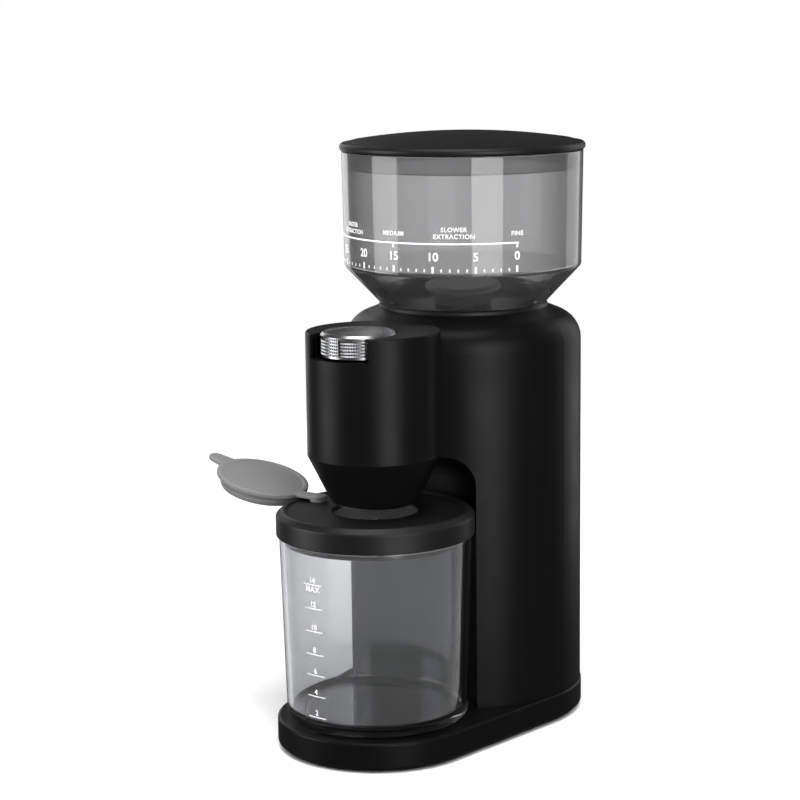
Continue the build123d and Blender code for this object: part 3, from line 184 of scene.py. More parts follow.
def smoked_san(name, facing, grazing, haze=0.0):
    # injection-moulded SAN with a light smoke tint: clear, thick, sharp highlights
    material, shader = new_material(name, facing, 0.03, IOR=1.50)
    shader.inputs["Transmission Weight"].default_value = 1.0 - haze
    # slow waves of the moulding bend what is seen through the wall
    grain(material, shader, 30.0, 0.05, None, None, (1, 1, 0.3), 1.0)
    # the smoke tint deepens where the wall is looked through at a slant
    slant = node(material, "ShaderNodeLayerWeight", {"Blend": 0.5})
    tint = node(material, "ShaderNodeValToRGB", {}, {"Fac": slant.outputs["Facing"]})
    tint.color_ramp.elements[0].position = 0.1
    tint.color_ramp.elements[1].position = 0.75
    tint.color_ramp.elements[0].color = linear(facing)
    tint.color_ramp.elements[1].color = linear(grazing)
    material.node_tree.links.new(tint.outputs["Color"], shader.inputs["Base Color"])
    return material


def silicone():
    # compression-moulded grey silicone: soft sheen, slightly dusty
    material, shader = new_material("silicone", "#c2c2c3", 0.52, IOR=1.41)
    shader.inputs["Sheen Weight"].default_value = 0.15
    shader.inputs["Sheen Roughness"].default_value = 0.4
    shader.inputs["Subsurface Weight"].default_value = 0.1
    shader.inputs["Subsurface Radius"].default_value = (0.002, 0.002, 0.002)
    grain(material, shader, 0.7, 0.008, ("#bdbdbe", "#c7c7c8"), (0.46, 0.58))
    return material


def soft_rubber():
    # moulded rubber feet and mounts: black, no gloss
    material, shader = new_material("soft_rubber", "#161616", 0.78, IOR=1.5)
    grain(material, shader, 0.6, 0.02, ("#121212", "#1d1d1d"), (0.7, 0.85))
    return material


def clear_seal():
    # translucent silicone seal: milky, a little glossy
    material, shader = new_material("clear_seal", "#c9c9c6", 0.35, IOR=1.41)
    shader.inputs["Transmission Weight"].default_value = 0.5
    grain(material, shader, 1.5, 0.01, ("#c0c0bd", "#d0d0cd"), (0.3, 0.42))
    return material


def spun_steel():
    # stainless turned on a lathe: bright rings round the axis that fan the light out
    material, shader = new_material("spun_steel", "#c6c7c9", 0.22, Metallic=1.0)
    centre = node(
        material,
        "ShaderNodeVectorMath",
        {"operation": "SUBTRACT", 1: (0, DIAL_AXIS[1] * MM, 0)},
        {0: place(material)},
    )
    flatten = {"operation": "MULTIPLY", 1: (1, 1, 0)}
    across = node(material, "ShaderNodeVectorMath", flatten, {0: centre.outputs[0]})
    radius = node(material, "ShaderNodeVectorMath", {"operation": "LENGTH"}, {0: across.outputs[0]})
    # tool marks are 0.1 mm apart; drawn 0.35 mm apart so that they show
    rings = node(
        material,
        "ShaderNodeMath",
        {"operation": "MULTIPLY", 1: 2 * math.pi / (0.35 * MM)},
        {0: radius.outputs["Value"]},
    )
    wave = node(material, "ShaderNodeMath", {"operation": "SINE"}, {0: rings.outputs[0]})
    mark_depth = {"Strength": 0.5, "Distance": 0.004 * MM}
    bump = node(material, "ShaderNodeBump", mark_depth, {"Height": wave.outputs[0]})
    material.node_tree.links.new(bump.outputs["Normal"], shader.inputs["Normal"])
    tangent = node(material, "ShaderNodeTangent", {"direction_type": "RADIAL", "axis": "Z"})
    shader.inputs["Anisotropic"].default_value = 0.7
    material.node_tree.links.new(tangent.outputs["Tangent"], shader.inputs["Tangent"])
    return material


def knurled_steel():
    # the dial's ribbed side: the same steel, bead-blasted between the ribs
    material, shader = new_material("knurled_steel", "#b9babc", 0.26, Metallic=1.0)
    grain(material, shader, 0.4, 0.01, ("#a9aaac", "#c8c9cb"), (0.22, 0.32))
    return material


def metal(name, colours, roughness, size=1.0, depth=0.006, stretch=(1, 1, 1)):
    """A bare metal whose grain wanders between two colours and two roughnesses."""
    material, shader = new_material(name, colours[0], sum(roughness) / 2, Metallic=1.0)
    grain(material, shader, size, depth, colours, roughness, stretch)
    return material


def circuit_board():
    # glass-epoxy board under green solder mask, copper tracks just visible under it
    material, shader = new_material("circuit_board", "#12512a", 0.35, IOR=1.5)
    tracks = node(
        material,
        "ShaderNodeTexBrick",
        {
            "Scale": 1 / (4 * MM),
            "Mortar Size": 0.03,
            "Color1": linear("#0f4a25"),
            "Color2": linear("#16612f"),
            "Mortar": linear("#0a3519"),
        },
        {"Vector": place(material)},
    )
    material.node_tree.links.new(tracks.outputs["Color"], shader.inputs["Base Color"])
    return material


def white_ink():
    # pad-printed ink: opaque white, thin enough to look slightly uneven
    material, shader = new_material("white_ink", "#f4f4f4", 0.5, IOR=1.5)
    grain(material, shader, 0.8, 0.004, ("#ebebeb", "#f8f8f8"), (0.45, 0.6))
    # painted light: the white ink glows faintly, so the print stays bright even where the wall is in shade
    shader.inputs["Emission Color"].default_value = linear("#ffffff")
    shader.inputs["Emission Strength"].default_value = 0.8
    return material


ABS = satin_abs()
LID_ABS = lid_abs()
NYLON = inner_nylon()
ACETAL = white_acetal()
HOPPER_SAN = smoked_san("smoked_san_hopper", "#d4d4d5", "#6c6c6d", 0.12)
JAR_SAN = smoked_san("smoked_san_container", "#d9dadc", "#bcbdbf")
SKIRT_SAN = smoked_san("smoked_san_skirt", "#9c9c9d", "#6a6a6b")
SILICONE = silicone()
RUBBER = soft_rubber()
SEAL = clear_seal()
SPUN = spun_steel()
KNURL = knurled_steel()
# case-hardened burr steel: grey, ground in fine lines
BURR = metal("ground_burr_steel", ("#8d8a84", "#a5a29b"), (0.28, 0.4), 0.6, 0.01, (1, 1, 0.15))
# turned shaft steel: clean, with faint rings along its length
SHAFT = metal("turned_shaft_steel", ("#9b9c9e", "#b2b3b5"), (0.2, 0.32), 1.2, 0.006, (0.2, 0.2, 3))
# zinc-plated screws: bluish, lightly mottled
ZINC = metal("zinc_plate", ("#9c9ea3", "#b6b8bc"), (0.3, 0.45), 0.8, 0.008)
# deep-drawn motor can: pressed steel, faint draw lines up the side
CAN = metal("drawn_steel_can", ("#8b8c8e", "#a0a1a3"), (0.3, 0.42), 2.0, 0.01, (1, 1, 0.1))
# stacked laminations: edges of thin sheets, so fine lines round the rotor
LAMINATE = metal("rotor_laminations", ("#6f675c", "#8d8577"), (0.4, 0.55), 0.7, 0.03, (0.05, 0.05, 1))
# oil-soaked sintered bronze: brown, porous
BRONZE = metal("sintered_bronze", ("#7a5a34", "#96724a"), (0.45, 0.6), 0.7, 0.02)
BOARD = circuit_board()
GLOWING_INK = white_ink()
# sintered ferrite: charcoal, chalky
FERRITE, ferrite_shader = new_material("sintered_ferrite", "#3a3a3c", 0.7)
grain(FERRITE, ferrite_shader, 0.9, 0.03, ("#313133", "#434345"), (0.62, 0.78))

# bean guard: mid-grey ABS, smooth from the mould
GUARD_ABS, guard_shader = new_material("guard_abs", "#7c7d7f", 0.35, IOR=1.52)
grain(GUARD_ABS, guard_shader, 0.6, 0.006, ("#777879", "#828385"), (0.3, 0.42))

CARRIED_OVER = {
    ABS: ("body_shell", "head_cap", "base"),
    NYLON: (
        "bottom_cover encoder_body grinding_chamber interlock_switch grounds_duct gearcase gearcase_cover "
        "frame_posts board_parts board_rails burr_carrier cooling_fan"
    ).split(),
    RUBBER: ("foot_ring", "front_feet", "cord_gland", "motor_mounts"),
    ZINC: "cover_screws shell_screws board_screws collar_screws ring_burr_screws burr_nut".split(),
    BOARD: ("dial_board", "control_board"),
    SEAL: ("neck_seal", "container_seal"),
    ACETAL: ("interlock_pin", "sweeper", "output_gear", "layshaft_gear"),
    SHAFT: "shaft_bearings layshaft_pin motor_shaft motor_pinion drive_shaft encoder_shaft".split(),
    CAN: ("motor_can", "motor_end_plate"),
    BRONZE: ("motor_bushes", "encoder_sleeve"),
    FERRITE: ("magnets",),
    BURR: ("cone_burr", "ring_burr"),
    LAMINATE: ("rotor",),
}
for material, names in CARRIED_OVER.items():
    for name in names:
        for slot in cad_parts[name].material_slots:
            slot.material = material


# ------------------------------------------------------------------ mesh makers
def finish_mesh(name, bm, material, body, sharp=38.0):
    """Turns a bmesh in millimetres into a smooth-shaded piece that rides on a body."""
    bmesh.ops.recalc_face_normals(bm, faces=bm.faces)
    bmesh.ops.scale(bm, vec=(MM, MM, MM), verts=bm.verts)
    mesh = bpy.data.meshes.new(name)
    bm.to_mesh(mesh)
    bm.free()
    for face in mesh.polygons:
        face.use_smooth = True
    mesh.set_sharp_from_angle(angle=math.radians(sharp))
    piece = bpy.data.objects.new(name, mesh)
    bpy.context.collection.objects.link(piece)
    mesh.materials.append(material)
    weighted = piece.modifiers.new("even_shading", "WEIGHTED_NORMAL")
    weighted.keep_sharp = True
    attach(piece, body)
    return piece


def rounded(corners):
    """Outline from corners (r, z, radius): each corner with a radius becomes an arc."""
    outline = []
    count = len(corners)
    for i, (r, z, radius) in enumerate(corners):
        here = Vector((r, z))
        if not radius:
            outline.append((r, z))
            continue
        back = (Vector(corners[i - 1][:2]) - here).normalized()
        on = (Vector(corners[(i + 1) % count][:2]) - here).normalized()
        half = math.acos(max(-1.0, min(1.0, back.dot(on)))) / 2
        reach = radius / math.tan(half)
        centre = here + (back + on).normalized() * (radius / math.sin(half))
        start = here + back * reach - centre
        end = here + on * reach - centre
        turn = start.angle_signed(end)
        for step in range(CORNER_STEPS + 1):
            spot = centre + Matrix.Rotation(-turn * step / CORNER_STEPS, 2) @ start
            outline.append((spot.x, spot.y))
    return outline


def spin(bm, outline, axis=COLUMN_AXIS, steps=192, wave=None):
    """Adds the closed outline of (r, z) turned round an upright axis; wave(r, z, angle) can shift r."""
    rings = []
    for r, z in outline:
        if r < 1e-6:
            rings.append([bm.verts.new((axis[0], axis[1], z))])
            continue
        ring = []
        for k in range(steps):
            angle = 2 * math.pi * k / steps
            away = r + (wave(r, z, angle) if wave else 0.0)
            x, y = axis[0] + away * math.cos(angle), axis[1] + away * math.sin(angle)
            ring.append(bm.verts.new((x, y, z)))
        rings.append(ring)
    for one, two in zip(rings, rings[1:] + rings[:1]):
        if len(one) == 1 and len(two) == 1:
            continue
        for k in range(steps):
            n = (k + 1) % steps
            if len(one) == 1:
                bm.faces.new((one[0], two[n], two[k]))
            elif len(two) == 1:
                bm.faces.new((one[k], one[n], two[0]))
            else:
                bm.faces.new((one[k], one[n], two[n], two[k]))


def turned(name, corners, material, body, axis=COLUMN_AXIS, steps=192, replaced=()):
    """A lathe-turned piece from rounded corners, standing for those CAD nodes."""
    bm = bmesh.new()
    spin(bm, rounded(corners), axis, steps)
    piece = finish_mesh(name, bm, material, body)
    if replaced:
        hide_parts(*replaced)
    return piece


# ------------------------------------------------------------------ hopper
BOWL_DEPTH = 66.5  # rim down to the shoulder
BOWL_DRAFT = 1.1  # how much narrower the bowl is at its shoulder
BOWL_WALL = 2.6
SHOULDER_INSET = 3.7  # the inside of the bowl at its shoulder, in from the rim
THROAT_R = 48.6  # outside, where the cone meets the collar
NECK_R = 44.0
NECK_BORE = 41.4
NECK_LIP_BORE = 36.5
NECK_LIP = 2.5
FEED_R = 13.5  # hole in the floor that lets the beans through
FLOOR_THICK = 2.6
KEYS = 3
KEY_FIRST = 30  # degrees
KEY_CIRCLE = 38.45
KEY_DROP = 2.9
KEY_SIZE = (3.2, 9.9, 6.0)
rim_r, rim_z = high("hopper")[0], high("hopper")[2]
shoulder_z = rim_z - BOWL_DEPTH
throat_z = high("hopper_collar")[2] + 0.4
floor_z = low("bean_guard")[2]
neck_z = low("neck_seal")[2] + 1.2
bm = bmesh.new()
spin(
    bm,
    rounded(
        [
            (rim_r, rim_z, 0.8),
            (rim_r - BOWL_DRAFT, shoulder_z, 2.2),
            (THROAT_R, throat_z, 0.6),
            (NECK_R, throat_z, 0.2),
            (NECK_R, neck_z, 0.5),
            (NECK_LIP_BORE, neck_z, 0.3),
            (NECK_LIP_BORE, neck_z + NECK_LIP, 0.3),
            (NECK_BORE, neck_z + NECK_LIP, 0.3),
            (NECK_BORE, floor_z - FLOOR_THICK, 0.3),
            (FEED_R, floor_z - FLOOR_THICK, 0.3),
            (FEED_R, floor_z, 0.5),
            (NECK_BORE, floor_z, 1.0),
            (NECK_BORE, throat_z - 0.5, 1.0),
            (rim_r - SHOULDER_INSET, shoulder_z + 1.1, 2.6),
            (rim_r - BOWL_WALL, rim_z, 0.8),
        ]
    ),
    steps=240,
)
for key in range(KEYS):
    # keys under the neck that turn the burr carrier
    key_turn = Matrix.Rotation(math.radians(KEY_FIRST + 360 // KEYS * key), 4, "Z")
    key_place = key_turn @ Matrix.Translation((KEY_CIRCLE, 0, neck_z - KEY_DROP))
    bmesh.ops.create_cube(bm, size=1.0, matrix=key_place @ Matrix.Diagonal((*KEY_SIZE, 1.0)))
bean_hopper = finish_mesh("bean_hopper", bm, HOPPER_SAN, "hopper")
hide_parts("hopper")

STEM_ROOT_R = 17.4  # the guard's stem where it meets the disc
STEM_R = 16.9
STEM_BORE = 13.9
guard_top = high("bean_guard")[2]
guard_r = high("bean_guard")[0]
bm = bmesh.new()
spin(
    bm,
    rounded(
        [
            (0, guard_top, 0),
            (guard_r - 3, guard_top, 2.0),
            (guard_r, guard_top - 1.4, 1.2),
            (guard_r - 0.2, guard_top - 3.4, 0.8),
            (STEM_ROOT_R, guard_top - 3.9, 0.8),
            (STEM_R, floor_z + 1.6, 0.3),
            (STEM_BORE, floor_z + 1.6, 0.3),
            (STEM_BORE, guard_top - 3.4, 0.4),
            (0, guard_top - 3.4, 0),
        ]
    ),
    steps=144,
)
bean_guard = finish_mesh("bean_guard_cap", bm, GUARD_ABS, "hopper")
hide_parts("bean_guard")

# ------------------------------------------------------------------ hopper lid and its skirt
lid_low = low("hopper_lid")[2]
lid_top = high("hopper_lid")[2]
edge_r = high("hopper_lid")[0]
bead_top = lid_low + 5.0
dome_r = edge_r - 2.6
DOME_STEPS = 14
dome = []
for k in range(1, DOME_STEPS):
    share = 1 - k / DOME_STEPS  # of the way out from the middle
    dome.append((dome_r * share, bead_top - 0.1 + (lid_top - bead_top + 0.1) * (1 - share**2)))
bm = bmesh.new()
bead = rounded(
    [
        (edge_r - 7.5, lid_low + 2.6, 0.4),
        (edge_r - 7.5, lid_low, 0.3),
        (edge_r - 0.6, lid_low, 1.6),
        (edge_r, lid_low + 2.5, 2.0),
        (edge_r - 1.6, bead_top - 0.2, 1.8),
    ]
)
spin(bm, [(0, lid_low + 2.6), *bead, *dome, (0, lid_top)], steps=240)
hopper_lid = finish_mesh("hopper_lid_dome", bm, LID_ABS, "lid")
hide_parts("hopper_lid")

SKIRT_WALL = 2.0
skirt_r = high("lid_skirt")[0]
skirt_low = low("lid_skirt")[2]
skirt = turned(
    "hopper_lid_skirt",
    [
        (skirt_r, lid_low, 0.2),
        (skirt_r, skirt_low, 0.8),
        (skirt_r - SKIRT_WALL, skirt_low, 0.8),
        (skirt_r - SKIRT_WALL, lid_low, 0.2),
    ],
    SKIRT_SAN,
    "lid",
    steps=240,
    replaced=("lid_skirt",),
)

COLLAR_R = 49.3
COLLAR_BORE = 44.5
FLANGE_R = 54.0
FLANGE_THICK = 2.4
collar_top = high("hopper_collar")[2]
collar_low = low("hopper_collar")[2]
collar = turned(
    "hopper_collar_ring",
    [
        (COLLAR_BORE, collar_low, 0),
        (FLANGE_R, collar_low, 0.3),
        (FLANGE_R, collar_low + FLANGE_THICK, 0.4),
        (COLLAR_R, collar_low + FLANGE_THICK, 0.3),
        (COLLAR_R, collar_top, 1.0),
        (COLLAR_BORE, collar_top, 0.8),
    ],
    LID_ABS,
    "casing",
    replaced=("hopper_collar",),
)


# ------------------------------------------------------------------ printing
INK_HALF = 0.03  # half of the ink's thickness
INK_MIDDLE = 0.06  # its middle, out from the wall
INK_SPREAD = 0.018  # how far strokes swell, as a share of the letter size
BAR_STEP = 1.5  # longest flat piece of a bar bent round a wall


def wrap(bm, radius_at, axis, angle, z):
    """Bends flat print, drawn in mm with x along the wall, y up and z outwards, onto a round wall."""
    for v in bm.verts:
        height = z + v.co.y
        radius = radius_at(height)
        turn = math.radians(angle) + v.co.x / radius
        out = radius + v.co.z
        v.co = Vector((axis[0] + out * math.sin(turn), axis[1] - out * math.cos(turn), height))


def ink_text(bm, words, size, radius_at, axis, angle, z, spacing=1.0):
    """Printed words, their middle at that angle and height on the wall."""
    curve = bpy.data.curves.new("print", "FONT")
    curve.body = words
    curve.size = size
    curve.align_x = "CENTER"
    curve.align_y = "CENTER"
    curve.extrude = INK_HALF
    curve.space_character = spacing
    curve.offset = size * INK_SPREAD
    source = bpy.data.objects.new("print", curve)
    flat = bpy.data.meshes.new_from_object(source)
    letters = bmesh.new()
    letters.from_mesh(flat)
    for v in letters.verts:
        v.co.z += INK_MIDDLE
    wrap(letters, radius_at, axis, angle, z)
    join(bm, letters)
    bpy.data.objects.remove(source)
    bpy.data.curves.remove(curve)
    bpy.data.meshes.remove(flat)


def join(bm, other):
    """Moves all of the second bmesh into the first."""
    mesh = bpy.data.meshes.new("joined")
    other.to_mesh(mesh)
    other.free()
    bm.from_mesh(mesh)
    bpy.data.meshes.remove(mesh)


def ink_bar(bm, width, height, radius_at, axis, angle, z):
    """A printed bar: width along the wall, height up it, both in mm."""
    steps = max(1, int(width / BAR_STEP))
    low_ink, high_ink = INK_MIDDLE - INK_HALF, INK_MIDDLE + INK_HALF
    section = ((-height / 2, low_ink), (height / 2, low_ink), (height / 2, high_ink), (-height / 2, high_ink))
    strip = bmesh.new()
    columns = []
    for k in range(steps + 1):
        x = -width / 2 + width * k / steps
        columns.append([strip.verts.new((x, y, out)) for y, out in section])
    for one, two in zip(columns, columns[1:]):
        for k in range(len(section)):
            n = (k + 1) % len(section)
            strip.faces.new((one[k], one[n], two[n], two[k]))
    strip.faces.new(columns[0][::-1])
    strip.faces.new(columns[-1])
    wrap(strip, radius_at, axis, angle, z)
    join(bm, strip)


def hopper_wall(z):
    """Radius of the bowl's outside at that height."""
    return rim_r - BOWL_DRAFT * (rim_z - z) / (rim_z - shoulder_z)


SCALE_ZERO = 59.2  # degrees at which the finest setting is printed
SCALE_STEP = 4.0  # degrees for one setting
COARSEST = 30
tick_z = shoulder_z + 3.7
number_z = tick_z + 7.4
line_z = tick_z + 14.9
word_z = line_z + 5.2
bm = bmesh.new()
for setting in range(COARSEST + 1):
    at = SCALE_ZERO - SCALE_STEP * setting
    if setting % 5:
        ink_bar(bm, 0.8, 1.6, hopper_wall, COLUMN_AXIS, at, tick_z)
    else:
        ink_bar(bm, 1.2, 3.6, hopper_wall, COLUMN_AXIS, at, tick_z + 0.4)
        ink_text(bm, str(setting), 6.6, hopper_wall, COLUMN_AXIS, at, number_z)
line_turn = SCALE_STEP * COARSEST
line_width = math.radians(line_turn) * rim_r
ink_bar(bm, line_width, 0.9, hopper_wall, COLUMN_AXIS, SCALE_ZERO - line_turn / 2, line_z)
for setting in (0, 15, COARSEST):
    ink_bar(bm, 1.1, 2.6, hopper_wall, COLUMN_AXIS, SCALE_ZERO - SCALE_STEP * setting, line_z - 1.3)
for words, setting, lift in (
    ("FINE", 0, 0),
    ("EXTRACTION", 7.5, -1.2),
    ("SLOWER", 7.5, 2.6),
    ("MEDIUM", 15, 0),
    ("EXTRACTION", 22.5, -1.2),
    ("FASTER", 22.5, 2.6),
    ("COARSE", COARSEST, 0),
):
    at = SCALE_ZERO - SCALE_STEP * setting
    ink_text(bm, words, 3.5, hopper_wall, COLUMN_AXIS, at, word_z + lift, 1.1)
hopper_scale = finish_mesh("hopper_scale_print", bm, GLOWING_INK, "hopper")

# ------------------------------------------------------------------ grounds container
JAR_DRAFT = 3.1  # how much narrower the foot is than the rim
JAR_WALL = 2.8
JAR_FLOOR = 5.0
LID_HOLE_R = 24.0
jar_low = low("container")[2]
jar_top = high("container")[2]
jar_r = high("container")[0]
foot_r = jar_r - JAR_DRAFT
jar = turned(
    "grounds_container",
    [
        (0, jar_low + 0.8, 0),
        (foot_r - 8, jar_low + 0.8, 0.8),
        (foot_r - 9.5, jar_low, 0.8),
        (foot_r, jar_low, 5.0),
        (jar_r, jar_top, 1.1),
        (jar_r - JAR_WALL, jar_top, 1.1),
        (foot_r - JAR_WALL, jar_low + JAR_FLOOR, 4.0),
        (0, jar_low + JAR_FLOOR, 0),
    ],
    JAR_SAN,
    "container",
    SPOUT_AXIS,
    240,
    ("container",),
)


def jar_wall(z):
    """Radius of the container's outside at that height."""
    return foot_r + JAR_DRAFT * (z - jar_low) / (jar_top - jar_low)


# cups and the height of their mark
CUP_MARKS = ((2, 27.6), (4, 39.7), (6, 51.8), (8, 63.8), (10, 76.9), (12, 90.0), (14, 103.5))
MARK_ANGLE = -5.0  # degrees from the front
bm = bmesh.new()
for cups, z in CUP_MARKS:
    ink_bar(bm, 12.5, 0.5, jar_wall, SPOUT_AXIS, MARK_ANGLE, z)
    ink_text(bm, str(cups), 4.2, jar_wall, SPOUT_AXIS, MARK_ANGLE, z + 2.4)
ink_text(bm, "MAX", 4.4, jar_wall, SPOUT_AXIS, MARK_ANGLE, CUP_MARKS[-1][1] - 2.6, 1.1)
cup_print = finish_mesh("container_cup_print", bm, GLOWING_INK, "container")

cover_low = jar_top - 3.0
crown = high("container_lid")[2]
cover_r = high("container_lid")[0]
plug_r = jar_r - 3.3
cover = turned(
    "container_lid_cover",
    [
        (LID_HOLE_R, crown - 1.2, 0.8),
        (cover_r - 6.5, crown - 1.2, 0.5),
        (cover_r - 5.4, crown, 0.6),
        (cover_r - 3.4, crown, 1.6),
        (cover_r, crown - 3.0, 2.0),
        (cover_r, cover_low, 0.6),
        (jar_r + 0.3, cover_low, 0.3),
        (jar_r + 0.3, jar_top + 0.1, 0.2),
        (plug_r, jar_top + 0.1, 0.2),
        (plug_r, jar_top - 1.5, 0),
        (plug_r - 1.2, jar_top - 1.5, 0),
        (plug_r - 1.2, jar_top - 4.5, 0),
        (plug_r, jar_top - 4.5, 0),
        (plug_r, jar_top - 7, 0.5),
        (plug_r - 2.6, jar_top - 7, 0.5),
        (plug_r - 2.6, crown - 4.0, 0.8),
        (LID_HOLE_R, crown - 4.0, 0.6),
    ],
    LID_ABS,
    "container",
    SPOUT_AXIS,
    240,
    ("container_lid",),
)

# ------------------------------------------------------------------ dial
dial_top = high("dial_knob")[2]
dial_low = low("dial_knob")[2]
dial_r = high("dial_knob")[0]
RIBS = 6
TEETH = 96
TOOTH_DEPTH = 0.32
HUB_R = 5.5
HUB_BORE = 2.6
rib_pitch = (dial_top - dial_low - 2.6) / RIBS
side = []
for rib in range(RIBS):
    foot = dial_low + 0.6 + rib * rib_pitch
    side += [
        (dial_r - 0.5, foot + 0.05),
        (dial_r - 0.5, foot + 0.6),
        (dial_r - 0.02, foot + 0.75),
        (dial_r - 0.02, foot + rib_pitch - 0.1),
    ]


def knurl(r, z, angle):
    """Teeth cut across the ribs."""
    if r < dial_r - 0.1 or z > dial_top - 2.2 or z < dial_low + 0.7:
        return 0.0
    return -TOOTH_DEPTH / 2 * (1 - math.cos(angle * TEETH))


bm = bmesh.new()
foot_edge = [(dial_r - 2.2, dial_low), (dial_r - 0.3, dial_low)]
top_edge = [(dial_r, dial_top - 1.9), (dial_r, dial_top - 1.6), (dial_r - 2.2, dial_top - 1.6)]
spin(bm, [*foot_edge, *side, *top_edge], DIAL_AXIS, TEETH * 8, knurl)
knob_side = finish_mesh("dial_knurled_side", bm, KNURL, "dial")
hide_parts("dial_knob")
bm = bmesh.new()
spin(
    bm,
    rounded(
        [
            (0, dial_top - 0.5, 0),
            (dial_r - 3.6, dial_top - 0.5, 0.8),
            (dial_r - 2.6, dial_top, 0.6),
            (dial_r - 1.4, dial_top, 0.5),
            (dial_r, dial_top - 1.5, 0.5),
            (dial_r, dial_top - 2.0, 0.1),
            (HUB_R, dial_top - 2.0, 0),
            (HUB_R, dial_low, 0.3),
            (HUB_BORE, dial_low, 0.2),
            (HUB_BORE, dial_top - 4.0, 0),
            (0, dial_top - 4.0, 0),
        ]
    ),
    DIAL_AXIS,
    240,
)
knob_top = finish_mesh("dial_spun_top", bm, SPUN, "dial")

# pointer: a dark strip down the front of the knurled side, painted shade that stands for a notch line; no
# notch is cut
POINTER_SHADE, pointer_shade_shader = new_material("pointer_painted_shade", "#19191a", 0.6)
grain(POINTER_SHADE, pointer_shade_shader, 0.5, 0.01, ("#151516", "#1f1f20"))
bm = bmesh.new()
POINTER_ANGLE = 6.0
pointer_z = (dial_top + dial_low) / 2 - 0.4
ink_bar(bm, 0.9, dial_top - dial_low - 4.0, lambda z: dial_r - 0.08, DIAL_AXIS, POINTER_ANGLE, pointer_z)
pointer = finish_mesh("dial_pointer_line", bm, POINTER_SHADE, "dial")

# ------------------------------------------------------------------ silicone cap
CAP_TILT = math.radians(15)  # outer end up
CAP_R = 27.0
PLUG_R = 23.0
PLUG_BORE = 21.2
boss_x = -39.8  # pivot of the strap on the container's lid
cap_middle = Vector((2 * boss_x, SPOUT_AXIS[1], crown + 9.0))
cap_place = Matrix.Translation(cap_middle) @ Matrix.Rotation(CAP_TILT, 4, "Y")


def slab(bm, outline, low_z, high_z, crumple=0.5):
    """A flat moulding with that plan, its edges rounded off at top and bottom."""
    centre = sum((Vector(spot) for spot in outline), Vector((0, 0))) / len(outline)
    rings = []
    for inset, z in ((crumple, low_z), (0, low_z + crumple), (0, high_z - crumple), (crumple, high_z)):
        ring = []
        for x, y in outline:
            away = Vector((x, y)) - centre
            spot = centre + away * (1 - inset / away.length)
            ring.append(bm.verts.new((spot.x, spot.y, z)))
        rings.append(ring)
    for one, two in zip(rings, rings[1:]):
        for k in range(len(one)):
            n = (k + 1) % len(one)
            bm.faces.new((one[k], one[n], two[n], two[k]))
    bm.faces.new(rings[0][::-1])
    bm.faces.new(rings[-1])


def tongue(start_x, end_x, root_half, end_half, y=0.0):
    """Plan of a tongue: straight sides from its root to a round end."""
    end_steps = 12
    way = 1 if end_x > start_x else -1
    tip = end_x - way * end_half
    plan = [(start_x, y - root_half)]
    for step in range(end_steps + 1):
        a = math.pi * step / end_steps
        plan.append((tip + way * end_half * math.sin(a), y - end_half * math.cos(a)))
    plan.append((start_x, y + root_half))
    return plan


cap_bm = bmesh.new()
spin(
    cap_bm,
    rounded(
        [
            (0, -0.7, 0),
            (23.6, -0.7, 0.6),
            (24.4, 0, 0.5),
            (CAP_R, 0, 0.9),
            (CAP_R, -2.5, 0.7),
            (25.2, -3.4, 0.6),
            (PLUG_R, -3.5, 0.4),
            (PLUG_R, -4.9, 0.4),
            (24.0, -5.7, 0.5),
            (23.8, -7.4, 0.6),
            (22.9, -8.8, 0.5),
            (PLUG_BORE, -8.8, 0.5),
            (PLUG_BORE, -3.3, 0.8),
            (0, -3.3, 0),
        ]
    ),
    steps=160,
)
# finger tab
slab(cap_bm, tongue(-22.0, -39.8, 6.4, 5.0), -3.3, -0.4, 0.8)
bmesh.ops.transform(cap_bm, matrix=cap_place, verts=cap_bm.verts)
# strap, its boss on the container's lid and the pin under it
slab(cap_bm, tongue(-57.5, boss_x + 4.9, 3.9, 4.9, SPOUT_AXIS[1]), crown + 0.4, crown + 2.4)
spin(
    cap_bm,
    rounded(
        [
            (0, crown + 2.9, 0),
            (2.6, crown + 2.9, 0.4),
            (3.1, crown + 2.2, 0.2),
            (4.8, crown + 1.6, 0.3),
            (4.8, crown - 1.0, 0.2),
            (2.9, crown - 1.0, 0.2),
            (2.9, crown - 4.2, 0.2),
            (3.9, crown - 4.3, 0.2),
            (3.4, crown - 5.4, 0.4),
            (0, crown - 5.4, 0),
        ]
    ),
    (boss_x, SPOUT_AXIS[1]),
    64,
)
cap_piece = finish_mesh("spout_cap_moulding", cap_bm, SILICONE, "cap")
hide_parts("spout_cap")

# ------------------------------------------------------------------ studio
VIEW_AZIMUTH = math.radians(34.93)  # the camera stands this far round from the front
VIEW_PITCH = math.radians(10.05)
VIEW_ROLL = math.radians(-0.656)
VIEW_BACK, VIEW_SIDE, VIEW_UP = 1302.4, -37.6, 415.6
SENSOR_WIDTH = 36.0
FOCAL_LENGTH = 100.9
SWEEP_R = 1000
right = Vector((math.cos(VIEW_AZIMUTH), math.sin(VIEW_AZIMUTH), 0))
back = Vector((math.sin(VIEW_AZIMUTH), -math.cos(VIEW_AZIMUTH), 0))
ahead = -back * math.cos(VIEW_PITCH) + Vector((0, 0, -math.sin(VIEW_PITCH)))
above = right.cross(ahead)
right_rolled = right * math.cos(VIEW_ROLL) + above * math.sin(VIEW_ROLL)
above_rolled = above * math.cos(VIEW_ROLL) - right * math.sin(VIEW_ROLL)
lens = bpy.data.cameras.new("camera")
lens.sensor_width = SENSOR_WIDTH
lens.lens = FOCAL_LENGTH
camera = bpy.data.objects.new("camera", lens)
bpy.context.collection.objects.link(camera)
turn = Matrix((right_rolled, above_rolled, -ahead)).transposed().to_4x4()
spot = back * VIEW_BACK + right * VIEW_SIDE + Vector((0, 0, VIEW_UP))
camera.matrix_world = Matrix.Translation(spot * MM) @ turn
bpy.context.scene.camera = camera


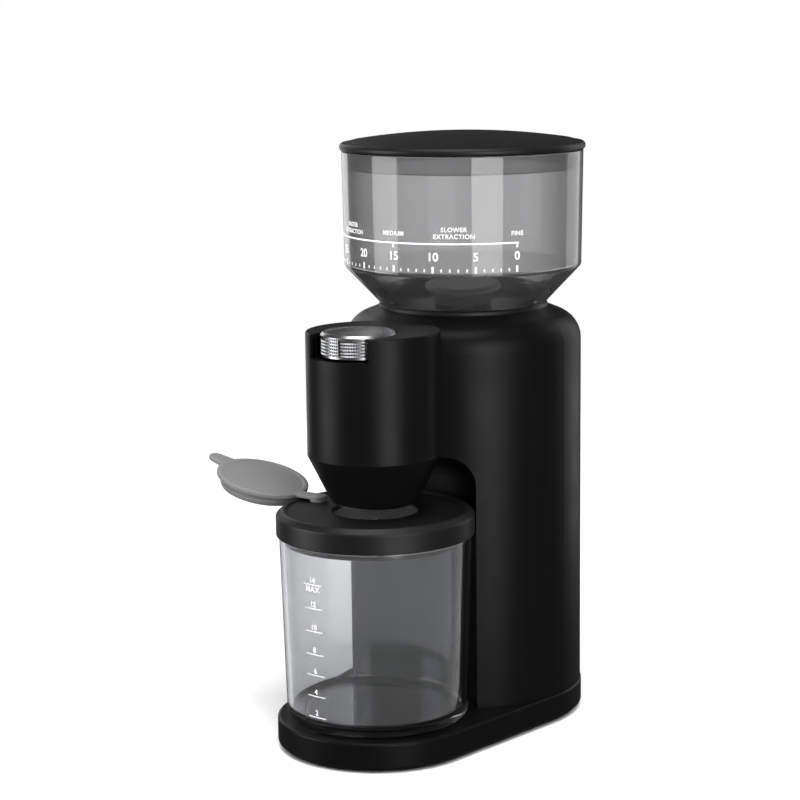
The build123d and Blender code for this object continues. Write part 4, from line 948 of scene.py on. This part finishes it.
def floor_material():
    # seamless paper sweep: matt, off white
    material, shader = new_material("paper_sweep", "#f4f4f4", 0.9)
    grain(material, shader, 4.0, 0.05, ("#f2f2f2", "#f6f6f6"))
    return material


bm = bmesh.new()
bmesh.ops.create_circle(bm, cap_ends=True, segments=128, radius=SWEEP_R)
floor_mesh = bpy.data.meshes.new("floor")
bmesh.ops.scale(bm, vec=(MM, MM, MM), verts=bm.verts)
bm.to_mesh(floor_mesh)
bm.free()
floor = bpy.data.objects.new("floor", floor_mesh)
floor_mesh.materials.append(floor_material())
bpy.context.collection.objects.link(floor)
# the sweep is seen but sends no light back up at the black casing
floor.visible_glossy = False
floor.visible_diffuse = False


def softbox(name, azimuth, elevation, distance, width, height, power, aim=(0, -40, 170)):
    """A soft area light; azimuth is round from the front, all lengths in mm."""
    light = bpy.data.lights.new(name, "AREA")
    light.shape = "RECTANGLE"
    light.size = width * MM
    light.size_y = height * MM
    light.energy = power
    lamp = bpy.data.objects.new(name, light)
    bpy.context.collection.objects.link(lamp)
    a, e = math.radians(azimuth), math.radians(elevation)
    away = Vector((math.sin(a) * math.cos(e), -math.cos(a) * math.cos(e), math.sin(e)))
    target = Vector(aim)
    lamp.location = (target + away * distance) * MM
    lamp.rotation_euler = away.to_track_quat("Z", "Y").to_euler()
    return lamp


softbox("key_right", 58, 8, 900, 480, 900, 4.4)
softbox("side_left", -46, 6, 1300, 700, 1100, 7.0)
softbox("rim_right", 165, 10, 1300, 700, 1200, 2.6)
softbox("rim_left", -120, 10, 1300, 600, 1200, 2.6)
softbox("top", 20, 80, 1400, 900, 900, 7.0)
floor_wash = softbox("floor_wash", 35, 60, 3500, 3000, 3000, 210)
only_floor = bpy.data.collections.new("floor_only")
only_floor.objects.link(floor)
floor_wash.light_linking.receiver_collection = only_floor

world = bpy.data.worlds.new("studio")
bpy.context.scene.world = world
world.use_nodes = True
path = node(world, "ShaderNodeLightPath")
seen = node(
    world,
    "ShaderNodeMath",
    {"operation": "MAXIMUM"},
    {0: path.outputs["Is Camera Ray"], 1: path.outputs["Is Transmission Ray"]},
)
# the room is dim to the casing, and white where it is seen directly or through clear plastic
level = node(world, "ShaderNodeMapRange", {"To Min": 0.07, "To Max": 1.0}, {"Value": seen.outputs[0]})
background = world.node_tree.nodes["Background"]
background.inputs["Color"].default_value = linear("#ffffff")
world.node_tree.links.new(level.outputs["Result"], background.inputs["Strength"])
bpy.context.scene.view_settings.view_transform = "Standard"
